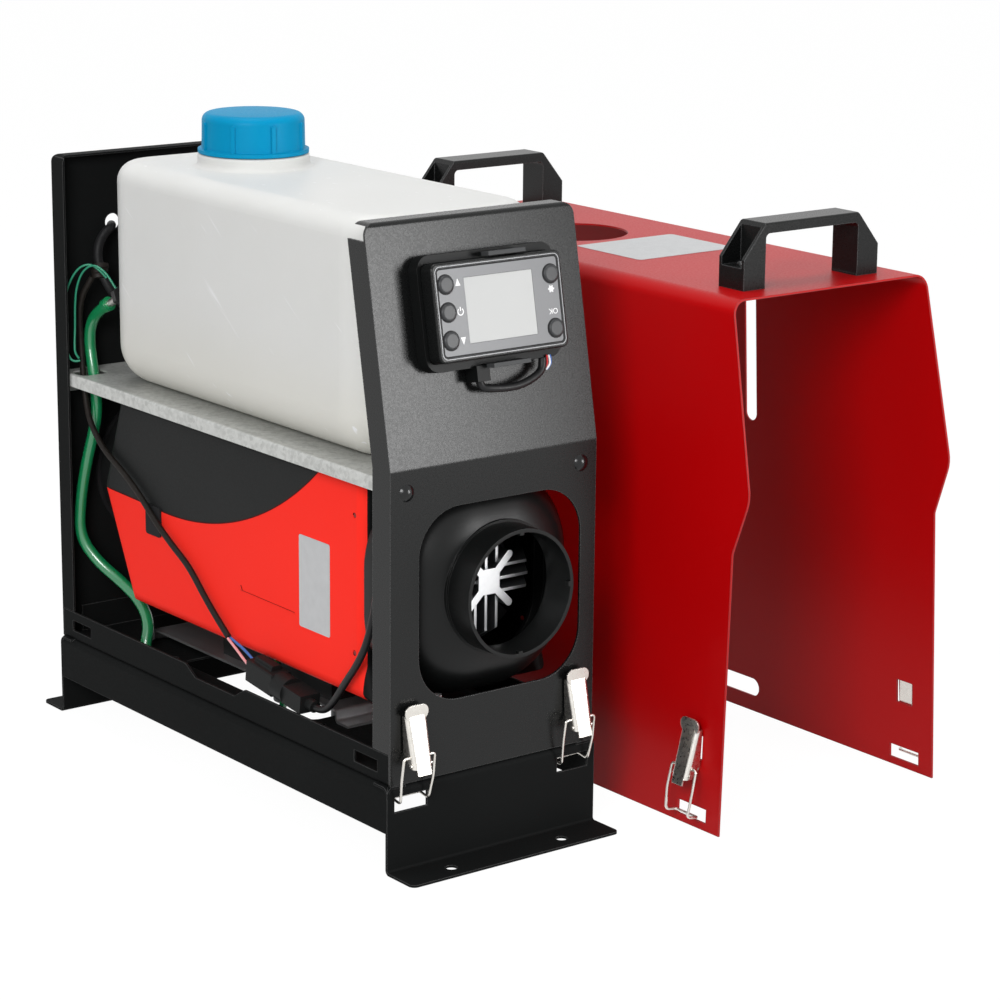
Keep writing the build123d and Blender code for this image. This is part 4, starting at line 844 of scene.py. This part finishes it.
for name, side, shift, finish in (("plug_wire_pink", -1, 0.0, pink_wire),
                                  ("plug_wire_blue", 1, 1.5, blue_wire)):
    route = [(LOOM_X + 0.9 * side, -3.7, 94.2), (LOOM_X + 1.4 * side, -13.0, 90.4 + shift),
             (-64.7 + 2.2 * side, -23.5, 86.6 + shift), (-65.1 + 3 * side, -33.8, 83.1)]
    cord_line(name, "frame", route, 0.85, finish, "cable_black", "wire_harness", length=0.032,
              stiffness="limp", lay="loose")

LEAD_ROUTE = [(-65.1, -97.1, 75.2), (-65.2, -106.0, 74.6), (-65.6, -118.0, 85.0), (-66.2, -130.0, 99.5),
              (-66.5, -141.5, 112.0), (-66.6, -152.5, 129.0), (-66.5, -160.0, 152.0), (-66.5, -164.5, 178.0),
              (-66.2, -167.5, 203.0), (-64.8, -168.0, 226.0), (-60.0, -165.5, 245.0), (-50.0, -161.5, 261.0),
              (-36.0, -159.0, 273.5), (-22.0, -157.5, 283.5), (-10.5, -159.5, 289.5), (-5.8, -166.0, 291.8),
              (-5.0, -174.1, 293.4)]
cord_line("supply_lead_cord", "frame", LEAD_ROUTE, 2.2, cable_black, "cable_black", "supply_lead",
          length=0.283, stiffness="medium", lay="loose")
CONDUIT_ROUTE = [(-30.3, 183.0, 317.7), (-34.5, 175.5, 318.0), (-43.0, 171.0, 315.0), (-48.6, 169.0, 308.0),
                 (-49.6, 168.0, 299.0), (-48.4, 165.5, 291.0), (-46.4, 161.5, 283.5), (-42.8, 158.5, 275.5),
                 (-36.0, 155.5, 268.0), (-27.0, 153.5, 262.0)]
cord_line("conduit", "frame", CONDUIT_ROUTE, 3.0, conduit_black, "cable_black", "cable_conduit",
          length=0.084, stiffness="stiff", lay="loose")


def from_panel(points):
    """Points given along, up and out of the front panel, as points of the object; millimetres."""
    return [tuple(1000 * c for c in panel_place @ (Vector(point) / 1000)) for point in points]


CABLE_ROUTE = from_panel([(-10.6, 46.6, 6.0), (-10.6, 39.6, 6.0), (-5.0, 38.4, 8.0), (5.0, 37.4, 8.6),
                          (15.0, 37.6, 8.8), (24.5, 40.2, 8.8), (33.4, 44.6, 8.0), (33.4, 50.9, 8.0)])
cord_line("control_cable_cord", "frame", CABLE_ROUTE, 2.3, cable_black, "cable_black", "control_cable",
          length=0.058, stiffness="medium", lay="loose")


# ---- Tape round the loom and loose wire ends ----------------------------------------------------
# Cloth tape holds the conduit, the loom and the thin lines together where they part, and thin
# coloured wires come out beside the control unit's cable.
bm = bmesh.new()
for k, (x, y, z) in enumerate([(-49.0, 165.8, 295.5), (-49.6, 165.6, 292.5), (-50.0, 165.0, 289.5)]):
    bmesh.ops.create_cone(bm, cap_ends=True, segments=24, radius1=0.0041 + 0.0003 * (k % 2),
                          radius2=0.0043, depth=0.0032,
                          matrix=aim((x, y, z), (-0.12, -0.3, -1)) @ Matrix.Diagonal((1.25, 1, 1, 1)))
rims = [e for e in bm.edges if any(len(f.verts) > 4 for f in e.link_faces)]
round_off(bm, rims, 0.0005, 3)
set_piece("loom_tape", bm, woven_sleeve, "frame")

for name, finish, x, lift in (("cable_wire_red", red_wire, 36.0, 0.0),
                              ("cable_wire_white", white_wire, 37.3, 1.0),
                              ("cable_wire_blue", blue_wire, 38.4, 0.4)):
    route = from_panel([(x - 2.4, 44.2, 7.4 + lift), (x, 46.4, 8.2 + lift), (x + 0.4, 49.2, 8.6 + lift),
                        (x - 0.4, 52.4, 9.4)])
    cord_line(name, "frame", route, 0.55, finish, "cable_black")
